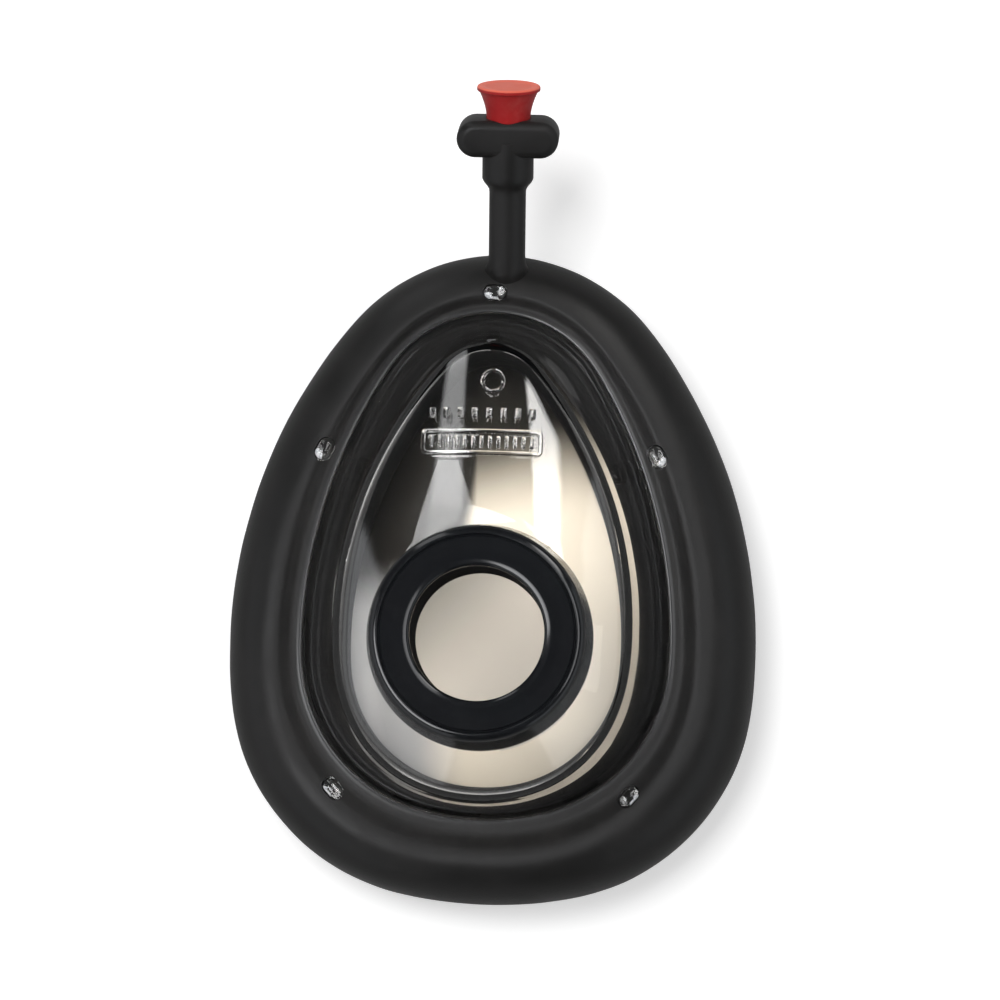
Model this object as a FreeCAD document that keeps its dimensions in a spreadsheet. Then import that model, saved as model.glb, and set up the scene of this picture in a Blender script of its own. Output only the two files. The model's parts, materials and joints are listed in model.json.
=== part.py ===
"""Inflatable-cushion ventilation mask: clear dome, air cushion, connector ring and filler plug.

Millimetres. The connector's axis is the Z axis while modelling, +Y points to the nose end and the
cushion rests on z = 0. The finished pieces move along Y by one shift, so that the origin ends up
under the middle of the whole mask.
"""
import FreeCAD
import Part
import Sketcher

import math
import os

V = FreeCAD.Vector
Z = V(0, 0, 1)

SIZES = {
    # widest outline of the air cushion
    "bead_nose": 68.7,
    "bead_chin": 44.3,
    "bead_half": 45.9,
    "bead_nose_radius": 33.7,
    "bead_chin_radius": 80.0,
    "bead_corner_radius": 38.0,
    # foot of the dome's clear wall, which is the edge of the rubber lip
    "foot_nose": 57.1,
    "foot_chin": 29.6,
    "foot_half": 31.2,
    "foot_nose_radius": 20.7,
    "foot_chin_radius": 42.0,
    "foot_corner_radius": 27.7,
    # shoulder of the dome, and inner edge of the air cushion under it
    "shoulder_nose": 51.2,
    "shoulder_chin": 27.3,
    "shoulder_half": 26.1,
    "shoulder_nose_radius": 11.2,
    "shoulder_chin_radius": 30.0,
    "shoulder_corner_radius": 24.8,
    # end of the dome's roof, under the connector ring
    "crown_nose": 18.3,
    "crown_chin": 16.6,
    "crown_half": 16.6,
    "crown_nose_radius": 12.5,
    "crown_chin_radius": 18.6,
    "crown_corner_radius": 15.0,
    # air cushion section
    "bead_height": 21.0,
    "bead_middle": 9.8,
    "contact_outer": 0.36,
    "contact_inner": 0.56,
    "inner_bulge": 1.8,
    "ridge_fraction": 0.46,
    "lip_edge_height": 19.8,
    "skin": 1.6,
    "overrun": 0.5,
    # flange, tabs and groove
    "seat_height": 16.6,
    "flange_thick": 1.8,
    "flange_past_ridge": 1.9,
    "groove_gap": 0.15,
    "tab_long": 3.8,
    "tab_deep": 2.4,
    "tab_proud": 0.9,
    "tab_gap": 0.25,
    "side_tab_half": 28.6,
    "side_tab_forward": 32.8,
    "side_tab_lean": 62.0,
    "chin_tab_half": 25.2,
    "chin_tab_back": 25.3,
    "chin_tab_lean": 48.0,
    # dome
    "wall": 2.0,
    "shoulder_height": 29.0,
    "shoulder_drop_share": 0.4,
    "crown_height": 38.5,
    "crown_plate": 2.2,
    "crown_landing_radius": 18.4,
    "crown_pocket_radius": 16.9,
    "crown_hole_radius": 13.5,
    # connector ring
    "bore_radius": 11.0,
    "ring_base_radius": 18.9,
    "ring_top_radius": 17.6,
    "ring_rise": 11.6,
    "ring_edge_radius": 1.2,
    "ring_step_width": 0.5,
    "ring_step_deep": 0.5,
    "ring_face_dish": 0.25,
    "ring_lip_radius": 0.9,
    "ring_flange_radius": 15.5,
    "ring_flange_thick": 2.6,
    "ring_gap": 0.15,
    # filler tube, neck and winged collar
    "tube_side": 2.0,
    "tube_sunk": 4.2,
    "tube_height": 19.6,
    "tube_rise_angle": 23.0,
    "tube_radius": 3.0,
    "tube_bore_radius": 1.6,
    "neck_radius": 4.15,
    "taper_start": 14.2,
    "neck_start": 16.4,
    "collar_start": 20.2,
    "collar_long": 7.5,
    "collar_half_width": 8.5,
    "collar_deep": 8.6,
    "collar_edge_radius": 1.6,
    "collar_end_radius": 3.45,
    "port_sunk": 2.7,
    "port_radius": 1.3,
    # filler plug
    "plug_radius": 3.75,
    "plug_head_radius": 5.2,
    "plug_head_thick": 0.9,
    "plug_rise": 5.0,
    "plug_seat_deep": 1.2,
    "plug_stem_radius": 1.5,
    "plug_stem_long": 9.0,
    "plug_gap": 0.1,
}

doc = FreeCAD.newDocument("VentilationMask")
sheet = doc.addObject("Spreadsheet::Sheet", "Sizes")
for row, (name, value) in enumerate(SIZES.items(), start=1):
    sheet.set(f"A{row}", name)
    sheet.set(f"B{row}", str(value))
    sheet.setAlias(f"B{row}", name)
doc.recompute()


def cell(name):
    return f"<<Sizes>>.{name}"


def bind(thing, **links):
    """Binds each named property to an expression; a double underscore stands for a dot."""
    for prop, expression in links.items():
        thing.setExpression(prop.replace("__", "."), expression)


class Outline:
    """A six-arc egg: one of the four driving outlines, moved part of the way towards another
    and grown or shrunk by an even offset. Each size is an expression on the sheet."""

    KEYS = ("nose", "chin", "half", "nose_radius", "chin_radius", "corner_radius")

    def __init__(self, name, towards=None, fraction="0", grow="0"):
        self.sizes = {}
        for key in self.KEYS:
            start = cell(f"{name}_{key}")
            if towards:
                start += f" + ({cell(f'{towards}_{key}')} - {start}) * ({fraction})"
            self.sizes[key] = f"{start} + ({grow})"

    def values(self):
        return [float(sheet.evalExpression(self.sizes[key])) for key in self.KEYS]


def egg_arcs(nose, chin, half, nose_radius, chin_radius, corner_radius):
    """The six arcs, counter-clockwise from the nose. The side arcs centre on the X axis."""
    nose_centre = V(0, nose - nose_radius, 0)
    side_radius = (nose_centre.y**2 + half**2 - nose_radius**2) / (2 * (half - nose_radius))
    side_centre = V(half - side_radius, 0, 0)
    chin_centre = V(0, chin_radius - chin, 0)
    gap = chin_centre - side_centre
    from_side = side_radius - corner_radius
    from_chin = chin_radius - corner_radius
    along = (from_side**2 - from_chin**2 + gap.Length**2) / (2 * gap.Length)
    across = math.sqrt(max(from_side**2 - along**2, 0))
    unit = gap.normalize()
    corner_centre = side_centre + unit * along + V(unit.y, -unit.x, 0) * across

    def heading(start, end):
        return math.atan2(end.y - start.y, end.x - start.x)

    nose_joint = heading(side_centre, nose_centre)
    side_joint = heading(side_centre, corner_centre)
    chin_joint = heading(chin_centre, corner_centre)

    def arc(centre, radius, start, end):
        return Part.ArcOfCircle(Part.Circle(centre, Z, radius), start, end)

    def mirrored(point):
        return V(-point.x, point.y, 0)

    return [
        arc(nose_centre, nose_radius, nose_joint, math.pi - nose_joint),
        arc(mirrored(side_centre), side_radius, math.pi - nose_joint, math.pi - side_joint),
        arc(mirrored(corner_centre), corner_radius, math.pi - side_joint, math.pi - chin_joint),
        arc(chin_centre, chin_radius, -math.pi - chin_joint, chin_joint),
        arc(corner_centre, corner_radius, chin_joint, side_joint),
        arc(side_centre, side_radius, side_joint, nose_joint),
    ]


def constrain(sketch, kind, *rest, name=None, to=None):
    index = sketch.addConstraint(Sketcher.Constraint(kind, *rest))
    if name:
        sketch.renameConstraint(index, name)
        sketch.setExpression(f"Constraints.{name}", to)


def egg_sketch(name, outline, height):
    """A flat sketch of one egg outline, fully constrained, at a height given as an expression."""
    sketch = doc.addObject("Sketcher::SketchObject", name)
    sizes = outline.values()
    nose, chin, half = sizes[:3]
    sketch.addGeometry(egg_arcs(*sizes), False)
    for arc in range(6):
        constrain(sketch, "Tangent", arc, 2, (arc + 1) % 6, 1)
    for arc, axis in ((0, -2), (3, -2), (1, -1), (5, -1)):
        constrain(sketch, "PointOnObject", arc, 3, axis)
    constrain(sketch, "Equal", 1, 5)
    constrain(sketch, "Equal", 2, 4)
    tips = (("nose", 0, V(0, nose, 0), -2), ("chin", 3, V(0, -chin, 0), -2), ("half", 5, V(half, 0, 0), -1))
    sketch.addGeometry([Part.Point(point) for _, _, point, _ in tips], True)
    for index, (_, arc, _, axis) in enumerate(tips, start=6):
        constrain(sketch, "PointOnObject", index, 1, arc)
        constrain(sketch, "PointOnObject", index, 1, axis)
    constrain(sketch, "DistanceY", -1, 1, 6, 1, nose, name="nose", to=outline.sizes["nose"])
    constrain(sketch, "DistanceY", 7, 1, -1, 1, chin, name="chin", to=outline.sizes["chin"])
    constrain(sketch, "DistanceX", -1, 1, 8, 1, half, name="half", to=outline.sizes["half"])
    for arc, key, value in zip((0, 3, 2), Outline.KEYS[3:], sizes[3:]):
        constrain(sketch, "Radius", arc, value, name=key, to=outline.sizes[key])
    bind(sketch, Placement__Base__z=height)
    return sketch


def egg_loft(name, levels):
    """A solid through egg outlines; levels holds (outline, height) pairs from the bottom up."""
    loft = doc.addObject("Part::Loft", name)
    loft.Sections = [
        egg_sketch(f"{name}_level_{number}", outline, height)
        for number, (outline, height) in enumerate(levels, start=1)
    ]
    loft.Solid = True
    return loft


def egg_prism(name, outline, bottom, top):
    """A straight-sided plate of one egg outline."""
    prism = doc.addObject("Part::Extrusion", name)
    prism.Base = egg_sketch(f"{name}_outline", outline, bottom)
    prism.DirMode = "Custom"
    prism.Dir = Z
    prism.Solid = True
    bind(prism, LengthFwd=f"({top}) - ({bottom})")
    return prism


def cylinder(name, radius, bottom, top, x="0", y="0"):
    solid = doc.addObject("Part::Cylinder", name)
    bind(
        solid,
        Radius=radius,
        Height=f"({top}) - ({bottom})",
        Placement__Base__x=x,
        Placement__Base__y=y,
        Placement__Base__z=bottom,
    )
    return solid


def fuse(name, parts):
    result = doc.addObject("Part::MultiFuse", name)
    result.Shapes = parts
    return result


def cut(name, base, tools):
    """The base less each tool in turn; the last cut carries the name."""
    for number, tool in enumerate(tools, start=1):
        result = doc.addObject("Part::Cut", name if number == len(tools) else f"{name}_cut_{number}")
        result.Base = base
        result.Tool = tool
        base = result
    return result


def quarter(count):
    """(1 - cos, sin) pairs of a quarter turn in equal steps, from level to upright."""
    turns = [math.pi / 2 * step / count for step in range(count + 1)]
    return [(round(1 - math.cos(turn), 5), round(math.sin(turn), 5)) for turn in turns]


def bulge(start, down, up, bottom, top, steps=3):
    """Egg levels round one side of the bead, from its bottom over the middle height to its top.
    down and up are functions that give the outline for a share of the way in from the middle."""
    middle = cell("bead_middle")
    lower = [(down(share), f"{middle} - ({middle} - ({bottom})) * {lift}") for share, lift in quarter(steps)]
    upper = [(up(share), f"{middle} + (({top}) - {middle}) * {lift}") for share, lift in quarter(steps)]
    return lower[:0:-1] + [(start, middle)] + upper[1:]


RIDGE = cell("ridge_fraction")
GROOVE_TOP = f"({cell('seat_height')} + {cell('flange_thick')} + {cell('groove_gap')})"
FLANGE_EDGE = cell("flange_past_ridge")


def bead_outside(name, skin, bottom, top):
    """The outer side of the bead, shrunk by a skin."""

    def inwards(reach):
        return lambda share: Outline("bead", "shoulder", f"{reach} * {share}", f"-({skin})")

    start = Outline("bead", grow=f"-({skin})")
    return egg_loft(name, bulge(start, inwards(cell("contact_outer")), inwards(RIDGE), bottom, top))


def bead_inside(name, skin, bottom, top):
    """The side of the bead round the face, grown by a skin. It ends under the dome's wall."""

    def swell(share):
        return f"({skin}) - {cell('inner_bulge')} * (1 - {share})"

    def down(share):
        return Outline("shoulder", "bead", f"(1 - {cell('contact_inner')}) * {share}", swell(share))

    def up(share):
        return Outline("shoulder", "foot", f"{share}", f"{swell(share)} - {cell('wall')} * {share}")

    start = Outline("shoulder", grow=swell(0))
    return egg_loft(name, bulge(start, down, up, bottom, top))


def tab_places():
    """Where the five locking tabs stand on the ridge, and which way their long side runs."""
    ridge_nose = f"({cell('bead_nose')} + ({cell('shoulder_nose')} - {cell('bead_nose')}) * {RIDGE})"
    side = (cell("side_tab_half"), cell("side_tab_forward"), sheet.get("side_tab_lean"))
    chin = (cell("chin_tab_half"), f"-{cell('chin_tab_back')}", -sheet.get("chin_tab_lean"))
    places = [("nose", "0", ridge_nose, 0.0)]
    for label, (half, forward, lean) in (("side", side), ("chin", chin)):
        places.append((f"{label}_right", half, forward, -lean))
        places.append((f"{label}_left", f"-{half}", forward, lean))
    return places


def tab_block(name, place, gap, bottom, top):
    """A round-ended upright block at one tab's place."""
    _, across, forward, lean = place
    sketch = doc.addObject("Sketcher::SketchObject", f"{name}_outline")
    long = float(sheet.evalExpression(f"{cell('tab_long')} + 2 * {gap}"))
    deep = float(sheet.evalExpression(f"{cell('tab_deep')} + 2 * {gap}"))
    reach = (long - deep) / 2
    end = deep / 2
    for side, start in ((1, -math.pi / 2), (-1, math.pi / 2)):
        circle = Part.Circle(V(side * reach, 0, 0), Z, end)
        sketch.addGeometry(Part.ArcOfCircle(circle, start, start + math.pi), False)
    sketch.addGeometry(Part.LineSegment(V(reach, end, 0), V(-reach, end, 0)), False)
    sketch.addGeometry(Part.LineSegment(V(-reach, -end, 0), V(reach, -end, 0)), False)
    for first, second in ((0, 2), (2, 1), (1, 3), (3, 0)):
        constrain(sketch, "Tangent", first, 2, second, 1)
    constrain(sketch, "Symmetric", 0, 3, 1, 3, -1, 1)
    constrain(sketch, "Horizontal", 2)
    constrain(sketch, "Radius", 0, end, name="end", to=f"{cell('tab_deep')} / 2 + {gap}")
    reach_size = f"{cell('tab_long')} - {cell('tab_deep')}"
    constrain(sketch, "DistanceX", 1, 3, 0, 3, 2 * reach, name="reach", to=reach_size)
    sketch.Placement.Rotation = FreeCAD.Rotation(Z, lean)
    bind(sketch, Placement__Base__x=across, Placement__Base__y=forward, Placement__Base__z=bottom)
    block = doc.addObject("Part::Extrusion", name)
    block.Base = sketch
    block.DirMode = "Custom"
    block.Dir = Z
    block.Solid = True
    bind(block, LengthFwd=f"({top}) - ({bottom})")
    return block


def revolved(name, points, arcs=()):
    """A solid turned about the Z axis. points are named corners (name, r, z) as expressions, and
    arcs maps the index of an edge to its bulge radius; the sketch lies in the XZ plane."""
    sketch = doc.addObject("Sketcher::SketchObject", f"{name}_section")
    places = [
        V(float(sheet.evalExpression(r)), float(sheet.evalExpression(height)), 0)
        for _, r, height in points
    ]
    count = len(places)
    radii = dict(arcs)
    for index, (start, end) in enumerate(zip(places, places[1:] + places[:1])):
        if index in radii:
            sketch.addGeometry(edge_arc(start, end, float(sheet.evalExpression(radii[index]))), False)
        else:
            sketch.addGeometry(Part.LineSegment(start, end), False)
    for index in range(count):
        following = (index + 1) % count
        # an arc may run clockwise, so that its own start lies at the edge's end
        first_end = 1 if index in radii and radii[index].startswith("-") else 2
        second_start = 2 if following in radii and radii[following].startswith("-") else 1
        constrain(sketch, "Coincident", index, first_end, following, second_start)
    for index, (label, r, height) in enumerate(points):
        corner = 2 if index in radii and radii[index].startswith("-") else 1
        if places[index].x == 0:
            constrain(sketch, "PointOnObject", index, corner, -2)
        else:
            distance = ("DistanceX", -1, 1, index, corner, places[index].x)
            constrain(sketch, *distance, name=f"{label}_r", to=r)
        if places[index].y == 0:
            constrain(sketch, "PointOnObject", index, corner, -1)
        else:
            distance = ("DistanceY", -1, 1, index, corner, places[index].y)
            constrain(sketch, *distance, name=f"{label}_z", to=height)
    for index, radius in radii.items():
        size = radius.lstrip("-")
        value = float(sheet.evalExpression(size))
        constrain(sketch, "Radius", index, value, name=f"{points[index][0]}_bend", to=size)
    sketch.Placement.Rotation = FreeCAD.Rotation(V(1, 0, 0), 90)
    turned = doc.addObject("Part::Revolution", name)
    turned.Source = sketch
    turned.Axis = Z
    turned.Base = V(0, 0, 0)
    turned.Angle = 360
    turned.Solid = True
    return turned


def edge_arc(start, end, radius):
    """The short arc between two corners: a positive radius bulges to the right of the way
    from start to end, a negative one to the left."""
    chord = end - start
    middle = (start + end) * 0.5
    square = V(-chord.y, chord.x, 0).normalize()
    reach = math.sqrt(max(radius**2 - (chord.Length / 2) ** 2, 0))
    centre = middle + square * (reach if radius > 0 else -reach)
    first = math.atan2(start.y - centre.y, start.x - centre.x)
    last = math.atan2(end.y - centre.y, end.x - centre.x)
    if radius < 0:
        first, last = last, first
    return Part.ArcOfCircle(Part.Circle(centre, Z, abs(radius)), first, last)


def make_dome():
    """Flange, steep wall, rounded shoulder and rising roof, hollow, with tabs and a crown hole."""
    seat = cell("seat_height")
    wall = cell("wall")
    flange_top = f"({seat} + {cell('flange_thick')})"
    wall_rise = f"({cell('shoulder_height')} - {flange_top})"
    roof_rise = f"({cell('crown_height')} - {cell('shoulder_height')})"
    roof_steps = (0.0, 0.3, 0.55, 0.78, 1.0)
    at_shoulder = cell("shoulder_drop_share")

    def shell(name, shrink, drop, foot_height):
        """The dome's form shrunk by a wall: a straight side, then a roof that curves in."""
        below = f"(({foot_height} - {flange_top}) / {wall_rise})"
        lowest = Outline("foot", "shoulder", below, f"-({shrink})")
        shoulder = Outline("shoulder", grow=f"-({shrink})")
        shoulder_height = f"{cell('shoulder_height')} - {at_shoulder} * ({drop})"
        side = egg_loft(f"{name}_side", [(lowest, foot_height), (shoulder, shoulder_height)])
        side.Ruled = True
        levels = []
        for step in roof_steps:
            outline = Outline("shoulder", "crown", f"{step**2:.4f}", f"-({shrink})")
            height = f"{shoulder_height} + ({roof_rise} - (1 - {at_shoulder}) * ({drop})) * {step}"
            levels.append((outline, height))
        return fuse(name, [side, egg_loft(f"{name}_roof", levels)])

    ridge_edge = Outline("bead", "shoulder", RIDGE, FLANGE_EDGE)
    flange = egg_prism("dome_flange", ridge_edge, seat, flange_top)
    outside = shell("dome_outside", "0", "0", seat)
    crown_top = cell("crown_height")
    landing_bottom = f"({crown_top} - {cell('crown_plate')})"
    landing = cylinder("dome_landing", cell("crown_landing_radius"), landing_bottom, crown_top)
    tab_top = f"({cell('bead_height')} + {cell('tab_proud')})"
    tabs = [tab_block(f"dome_tab_{place[0]}", place, "0", seat, tab_top) for place in tab_places()]
    solid = fuse("dome_solid", [flange, outside, landing] + tabs)
    inside = shell("dome_inside", wall, cell("crown_plate"), f"({seat} - {cell('overrun')})")
    pocket_bottom = f"({landing_bottom} - {cell('ring_flange_thick')})"
    pocket = cylinder("dome_pocket", cell("crown_pocket_radius"), pocket_bottom, landing_bottom)
    over = f"({crown_top} + {cell('overrun')})"
    hole = cylinder("dome_hole", cell("crown_hole_radius"), landing_bottom + f" - {cell('overrun')}", over)
    return cut("clear_dome", solid, [inside, pocket, hole])


def make_tube_parts():
    """Filler tube, neck and winged collar along one rising axis, and what is bored out of them."""
    section = [
        ("root", "0", "0"),
        ("tube", cell("tube_radius"), "0"),
        ("taper", cell("tube_radius"), cell("taper_start")),
        ("neck", cell("neck_radius"), cell("neck_start")),
        ("collar", cell("neck_radius"), f"({cell('collar_start')} + {cell('collar_long')} / 2)"),
        ("end", "0", f"({cell('collar_start')} + {cell('collar_long')} / 2)"),
    ]
    tube = revolved("cushion_tube", section)
    root = doc.addObject("Part::Sphere", "cushion_tube_root")
    bind(root, Radius=cell("tube_radius"))
    collar = doc.addObject("Part::Box", "cushion_collar_block")
    bind(
        collar,
        Length=f"2 * {cell('collar_half_width')}",
        Width=cell("collar_deep"),
        Height=cell("collar_long"),
        Placement__Base__x=f"-{cell('collar_half_width')}",
        Placement__Base__y=f"-{cell('collar_deep')} / 2",
        Placement__Base__z=cell("collar_start"),
    )
    doc.recompute()
    ends = doc.addObject("Part::Fillet", "cushion_collar_ends")
    ends.Base = collar
    upright = [
        number
        for number, edge in enumerate(collar.Shape.Edges, start=1)
        if abs(edge.tangentAt(edge.FirstParameter).y) > 0.9
    ]
    end_radius = sheet.get("collar_end_radius")
    ends.Edges = [(number, end_radius, end_radius) for number in upright]
    doc.recompute()
    collar_round = doc.addObject("Part::Fillet", "cushion_collar")
    collar_round.Base = ends
    edge_radius = sheet.get("collar_edge_radius")
    deep = sheet.get("collar_deep")
    rims = [
        number
        for number, edge in enumerate(ends.Shape.Edges, start=1)
        if all(abs(abs(vertex.Point.y) - deep / 2) < 1e-6 for vertex in edge.Vertexes)
        and edge.Vertexes[0].Point.y * edge.Vertexes[-1].Point.y > 0
    ]
    collar_round.Edges = [(number, edge_radius, edge_radius) for number in rims]
    far_end = f"({cell('collar_start')} + {cell('collar_long')})"
    bore = cylinder("cushion_tube_bore", cell("tube_bore_radius"), "0", f"{far_end} + {cell('overrun')}")
    seat_radius = f"{cell('plug_radius')} + {cell('plug_gap')}"
    seat_bottom = f"{far_end} - {cell('plug_seat_deep')} - {cell('plug_gap')}"
    seat = cylinder("cushion_plug_seat", seat_radius, seat_bottom, f"{far_end} + {cell('overrun')}")
    return [tube, root, collar_round], [bore, seat]


def lean_to_tube(thing):
    """Turns a piece built along Z onto the filler tube's axis."""
    holder = doc.addObject("Part::Feature", f"{thing.Name}_placed")
    holder.Shape = thing.Shape
    holder.Placement = tube_placement().multiply(thing.Placement)
    return holder


def tube_placement():
    angle = sheet.get("tube_rise_angle")
    turn = FreeCAD.Rotation(V(1, 0, 0), -(90 - angle))
    start = sheet.get("bead_nose") - sheet.get("tube_sunk")
    place = V(sheet.get("tube_side"), start, sheet.get("tube_height"))
    return FreeCAD.Placement(place, turn)


def make_cushion():
    """Hollow bead, its lip over the dome's flange with a slot for each tab, and the filler tube."""
    skin = cell("skin")
    top = cell("bead_height")
    over = cell("overrun")
    bead = bead_outside("bead_outside", "0", "0", top)
    opening = bead_inside("bead_opening", "0", f"-{over}", f"{cell('seat_height')} + {over}")
    gap = cell("groove_gap")
    flange_room = Outline("bead", "shoulder", RIDGE, f"{FLANGE_EDGE} + {gap}")
    seat = cell("seat_height")
    groove = egg_prism("bead_groove", flange_room, seat, GROOVE_TOP)
    in_groove = f"({GROOVE_TOP} - {over})"
    throat = egg_prism("bead_throat", Outline("foot", grow=gap), in_groove, f"{top} + {over}")
    slope = egg_loft(
        "bead_lip_slope",
        [
            (Outline("foot", grow=gap), cell("lip_edge_height")),
            (Outline("bead", "shoulder", RIDGE, f"-2 * {gap}"), top),
        ],
    )
    slot_top = f"{top} + {cell('tab_proud')} + {over}"
    slots = [
        tab_block(f"bead_slot_{place[0]}", place, cell("tab_gap"), in_groove, slot_top)
        for place in tab_places()
    ]
    tube, bores = make_tube_parts()
    doc.recompute()
    whole = fuse("cushion_solid", [bead] + [lean_to_tube(piece) for piece in tube])
    air = bead_outside("air_outside", skin, skin, f"{top} - {skin}")
    air_limit = bead_inside("air_inside", skin, f"({skin} - {over})", f"{seat} - {skin} + {over}")
    collar_room = Outline("bead", "shoulder", RIDGE, f"{FLANGE_EDGE} + {gap} + {skin}")
    air_ceiling = egg_prism("air_ceiling", collar_room, f"({seat} - {skin})", f"{top} + {over}")
    air_space = cut("air_space", air, [air_limit, air_ceiling])
    port = cylinder(
        "cushion_port",
        cell("port_radius"),
        cell("bead_middle"),
        cell("tube_height") + " + " + cell("tube_radius") + " / 3",
        cell("tube_side"),
        f"{cell('bead_nose')} - {cell('port_sunk')}",
    )
    tools = [opening, air_space, groove, throat, slope, fuse("bead_slots", slots), port]
    return cut("air_cushion", whole, tools + [lean_to_tube(piece) for piece in bores])


def make_ring():
    """Socket with a drafted outside, a stepped face, a dished top and a grommet groove below."""
    crown = cell("crown_height")
    plate_bottom = f"({crown} - {cell('crown_plate')})"
    gap = cell("ring_gap")
    top = f"({crown} + {cell('ring_rise')})"
    edge = cell("ring_edge_radius")
    step_out = f"({cell('ring_top_radius')} - {edge})"
    step_in = f"({step_out} - {cell('ring_step_width')})"
    step_bottom = f"({top} - {cell('ring_step_deep')})"
    lip = cell("ring_lip_radius")
    flange_top = f"({plate_bottom} - {gap})"
    flange_bottom = f"({flange_top} - {cell('ring_flange_thick')})"
    waist = f"({cell('crown_hole_radius')} - {gap})"
    face_middle = f"(({step_in} + {cell('bore_radius')} + {lip}) / 2)"
    points = [
        ("bore_bottom", cell("bore_radius"), flange_bottom),
        ("flange_bottom", cell("ring_flange_radius"), flange_bottom),
        ("flange_top", cell("ring_flange_radius"), flange_top),
        ("waist_bottom", waist, flange_top),
        ("waist_top", waist, crown),
        ("base", cell("ring_base_radius"), crown),
        ("side", cell("ring_top_radius"), f"({top} - {edge})"),
        ("step_out", step_out, top),
        ("step_foot", step_in, step_bottom),
        ("face", step_in, top),
        ("dish", face_middle, f"({top} - {cell('ring_face_dish')})"),
        ("lip", f"({cell('bore_radius')} + {lip})", top),
        ("mouth", cell("bore_radius"), f"({top} - {lip})"),
    ]
    return revolved("connector_ring", points, [(6, edge), (11, lip)])


def make_plug():
    """Stopper with a rim disc, a waisted body that sits in the collar, and a stem in the bore."""
    seat = f"({cell('collar_start')} + {cell('collar_long')} - {cell('plug_seat_deep')})"
    top = f"({cell('collar_start')} + {cell('collar_long')} + {cell('plug_rise')})"
    rim_bottom = f"({top} - {cell('plug_head_thick')})"
    stem_end = f"({seat} - {cell('plug_stem_long')})"
    shoulder = f"({seat} + {cell('plug_seat_deep')})"
    points = [
        ("tip", "0", stem_end),
        ("tip_edge", f"({cell('plug_stem_radius')} * 0.6)", stem_end),
        ("stem_start", cell("plug_stem_radius"), f"({stem_end} + {cell('plug_stem_radius')})"),
        ("stem_top", cell("plug_stem_radius"), seat),
        ("seat", cell("plug_radius"), seat),
        ("waist", cell("plug_radius"), shoulder),
        ("flare", cell("plug_head_radius"), rim_bottom),
        ("rim", cell("plug_head_radius"), top),
        ("top", "0", top),
    ]
    flare_bend = f"-({cell('plug_rise')})"
    return revolved("plug_turned", points, [(5, flare_bend)])


dome = make_dome()
cushion = make_cushion()
ring = make_ring()
plug = make_plug()
doc.recompute()
plug_placed = lean_to_tube(plug)
doc.recompute()

failed = [thing.Name for thing in doc.Objects if {"Invalid", "Error"} & set(thing.State)]
if failed:
    raise SystemExit(f"these objects failed: {failed}")

pieces = {
    "clear_dome": dome,
    "air_cushion": cushion,
    "connector_ring": ring,
    "filler_plug": plug_placed,
}
for name, piece in pieces.items():
    piece.Label = name
    shape = piece.Shape
    if shape.isNull() or not shape.isValid() or len(shape.Solids) != 1:
        raise SystemExit(f"{name} is not one valid solid: {len(shape.Solids)}")

# the origin goes under the middle of the whole mask, along Y
box = FreeCAD.BoundBox()
for piece in pieces.values():
    box.add(piece.Shape.optimalBoundingBox(True, False))
shift = V(0, -box.Center.y, 0)
os.makedirs("parts", exist_ok=True)
for name, piece in pieces.items():
    shape = piece.Shape.copy()
    shape.translate(shift)
    shape.exportStep(f"parts/{name}.step")
    print(name, round(shape.Volume, 1), "mm3")
print("box", box, "shift", round(shift.y, 3))
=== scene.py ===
import json
import math

import bmesh
import bpy
import numpy as np
from mathutils import Matrix, Vector, noise
from mathutils.bvhtree import BVHTree


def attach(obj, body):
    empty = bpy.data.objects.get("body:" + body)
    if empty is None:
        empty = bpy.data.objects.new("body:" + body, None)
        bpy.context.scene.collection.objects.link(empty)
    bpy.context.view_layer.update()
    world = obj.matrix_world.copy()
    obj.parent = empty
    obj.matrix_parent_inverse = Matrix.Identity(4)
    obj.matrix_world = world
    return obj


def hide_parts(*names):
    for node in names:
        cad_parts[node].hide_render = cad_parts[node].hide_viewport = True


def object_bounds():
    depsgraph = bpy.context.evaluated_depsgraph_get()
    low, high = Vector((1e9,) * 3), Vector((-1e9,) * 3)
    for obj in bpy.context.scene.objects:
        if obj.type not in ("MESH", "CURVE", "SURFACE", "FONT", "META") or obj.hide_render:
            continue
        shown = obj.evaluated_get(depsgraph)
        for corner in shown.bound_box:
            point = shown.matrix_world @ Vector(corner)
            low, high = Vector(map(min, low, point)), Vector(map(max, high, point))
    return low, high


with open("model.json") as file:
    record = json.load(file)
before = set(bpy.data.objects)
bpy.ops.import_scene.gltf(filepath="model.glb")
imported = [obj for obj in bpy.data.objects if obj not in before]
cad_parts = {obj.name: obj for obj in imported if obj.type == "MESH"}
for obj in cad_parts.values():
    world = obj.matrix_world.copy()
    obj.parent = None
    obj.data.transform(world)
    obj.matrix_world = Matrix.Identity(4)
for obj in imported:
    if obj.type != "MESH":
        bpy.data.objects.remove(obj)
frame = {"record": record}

cad_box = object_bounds()

# Lengths are in millimetres about the connector's axis; +Y is the nose end. piece_of() below turns
# them into metres at the mask's own place in the row frame.
MM = 0.001
BORE_PLACE = Vector(next(m["pos_m"] for m in frame["record"]["mounts"] if m["name"] == "connector_bore"))

TURN = 360
EDGE_SOFTNESS = 3.0

# nose, chin, half width, nose radius, chin radius, corner radius of each driving outline
OUTLINES = {
    "bead": (68.7, 44.3, 45.9, 33.7, 80.0, 38.0),
    "foot": (57.1, 29.6, 31.2, 20.7, 42.0, 27.7),
    "shoulder": (51.2, 27.3, 26.1, 11.2, 30.0, 24.8),
    "crown": (18.3, 16.6, 16.6, 12.5, 18.6, 15.0),
}

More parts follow.
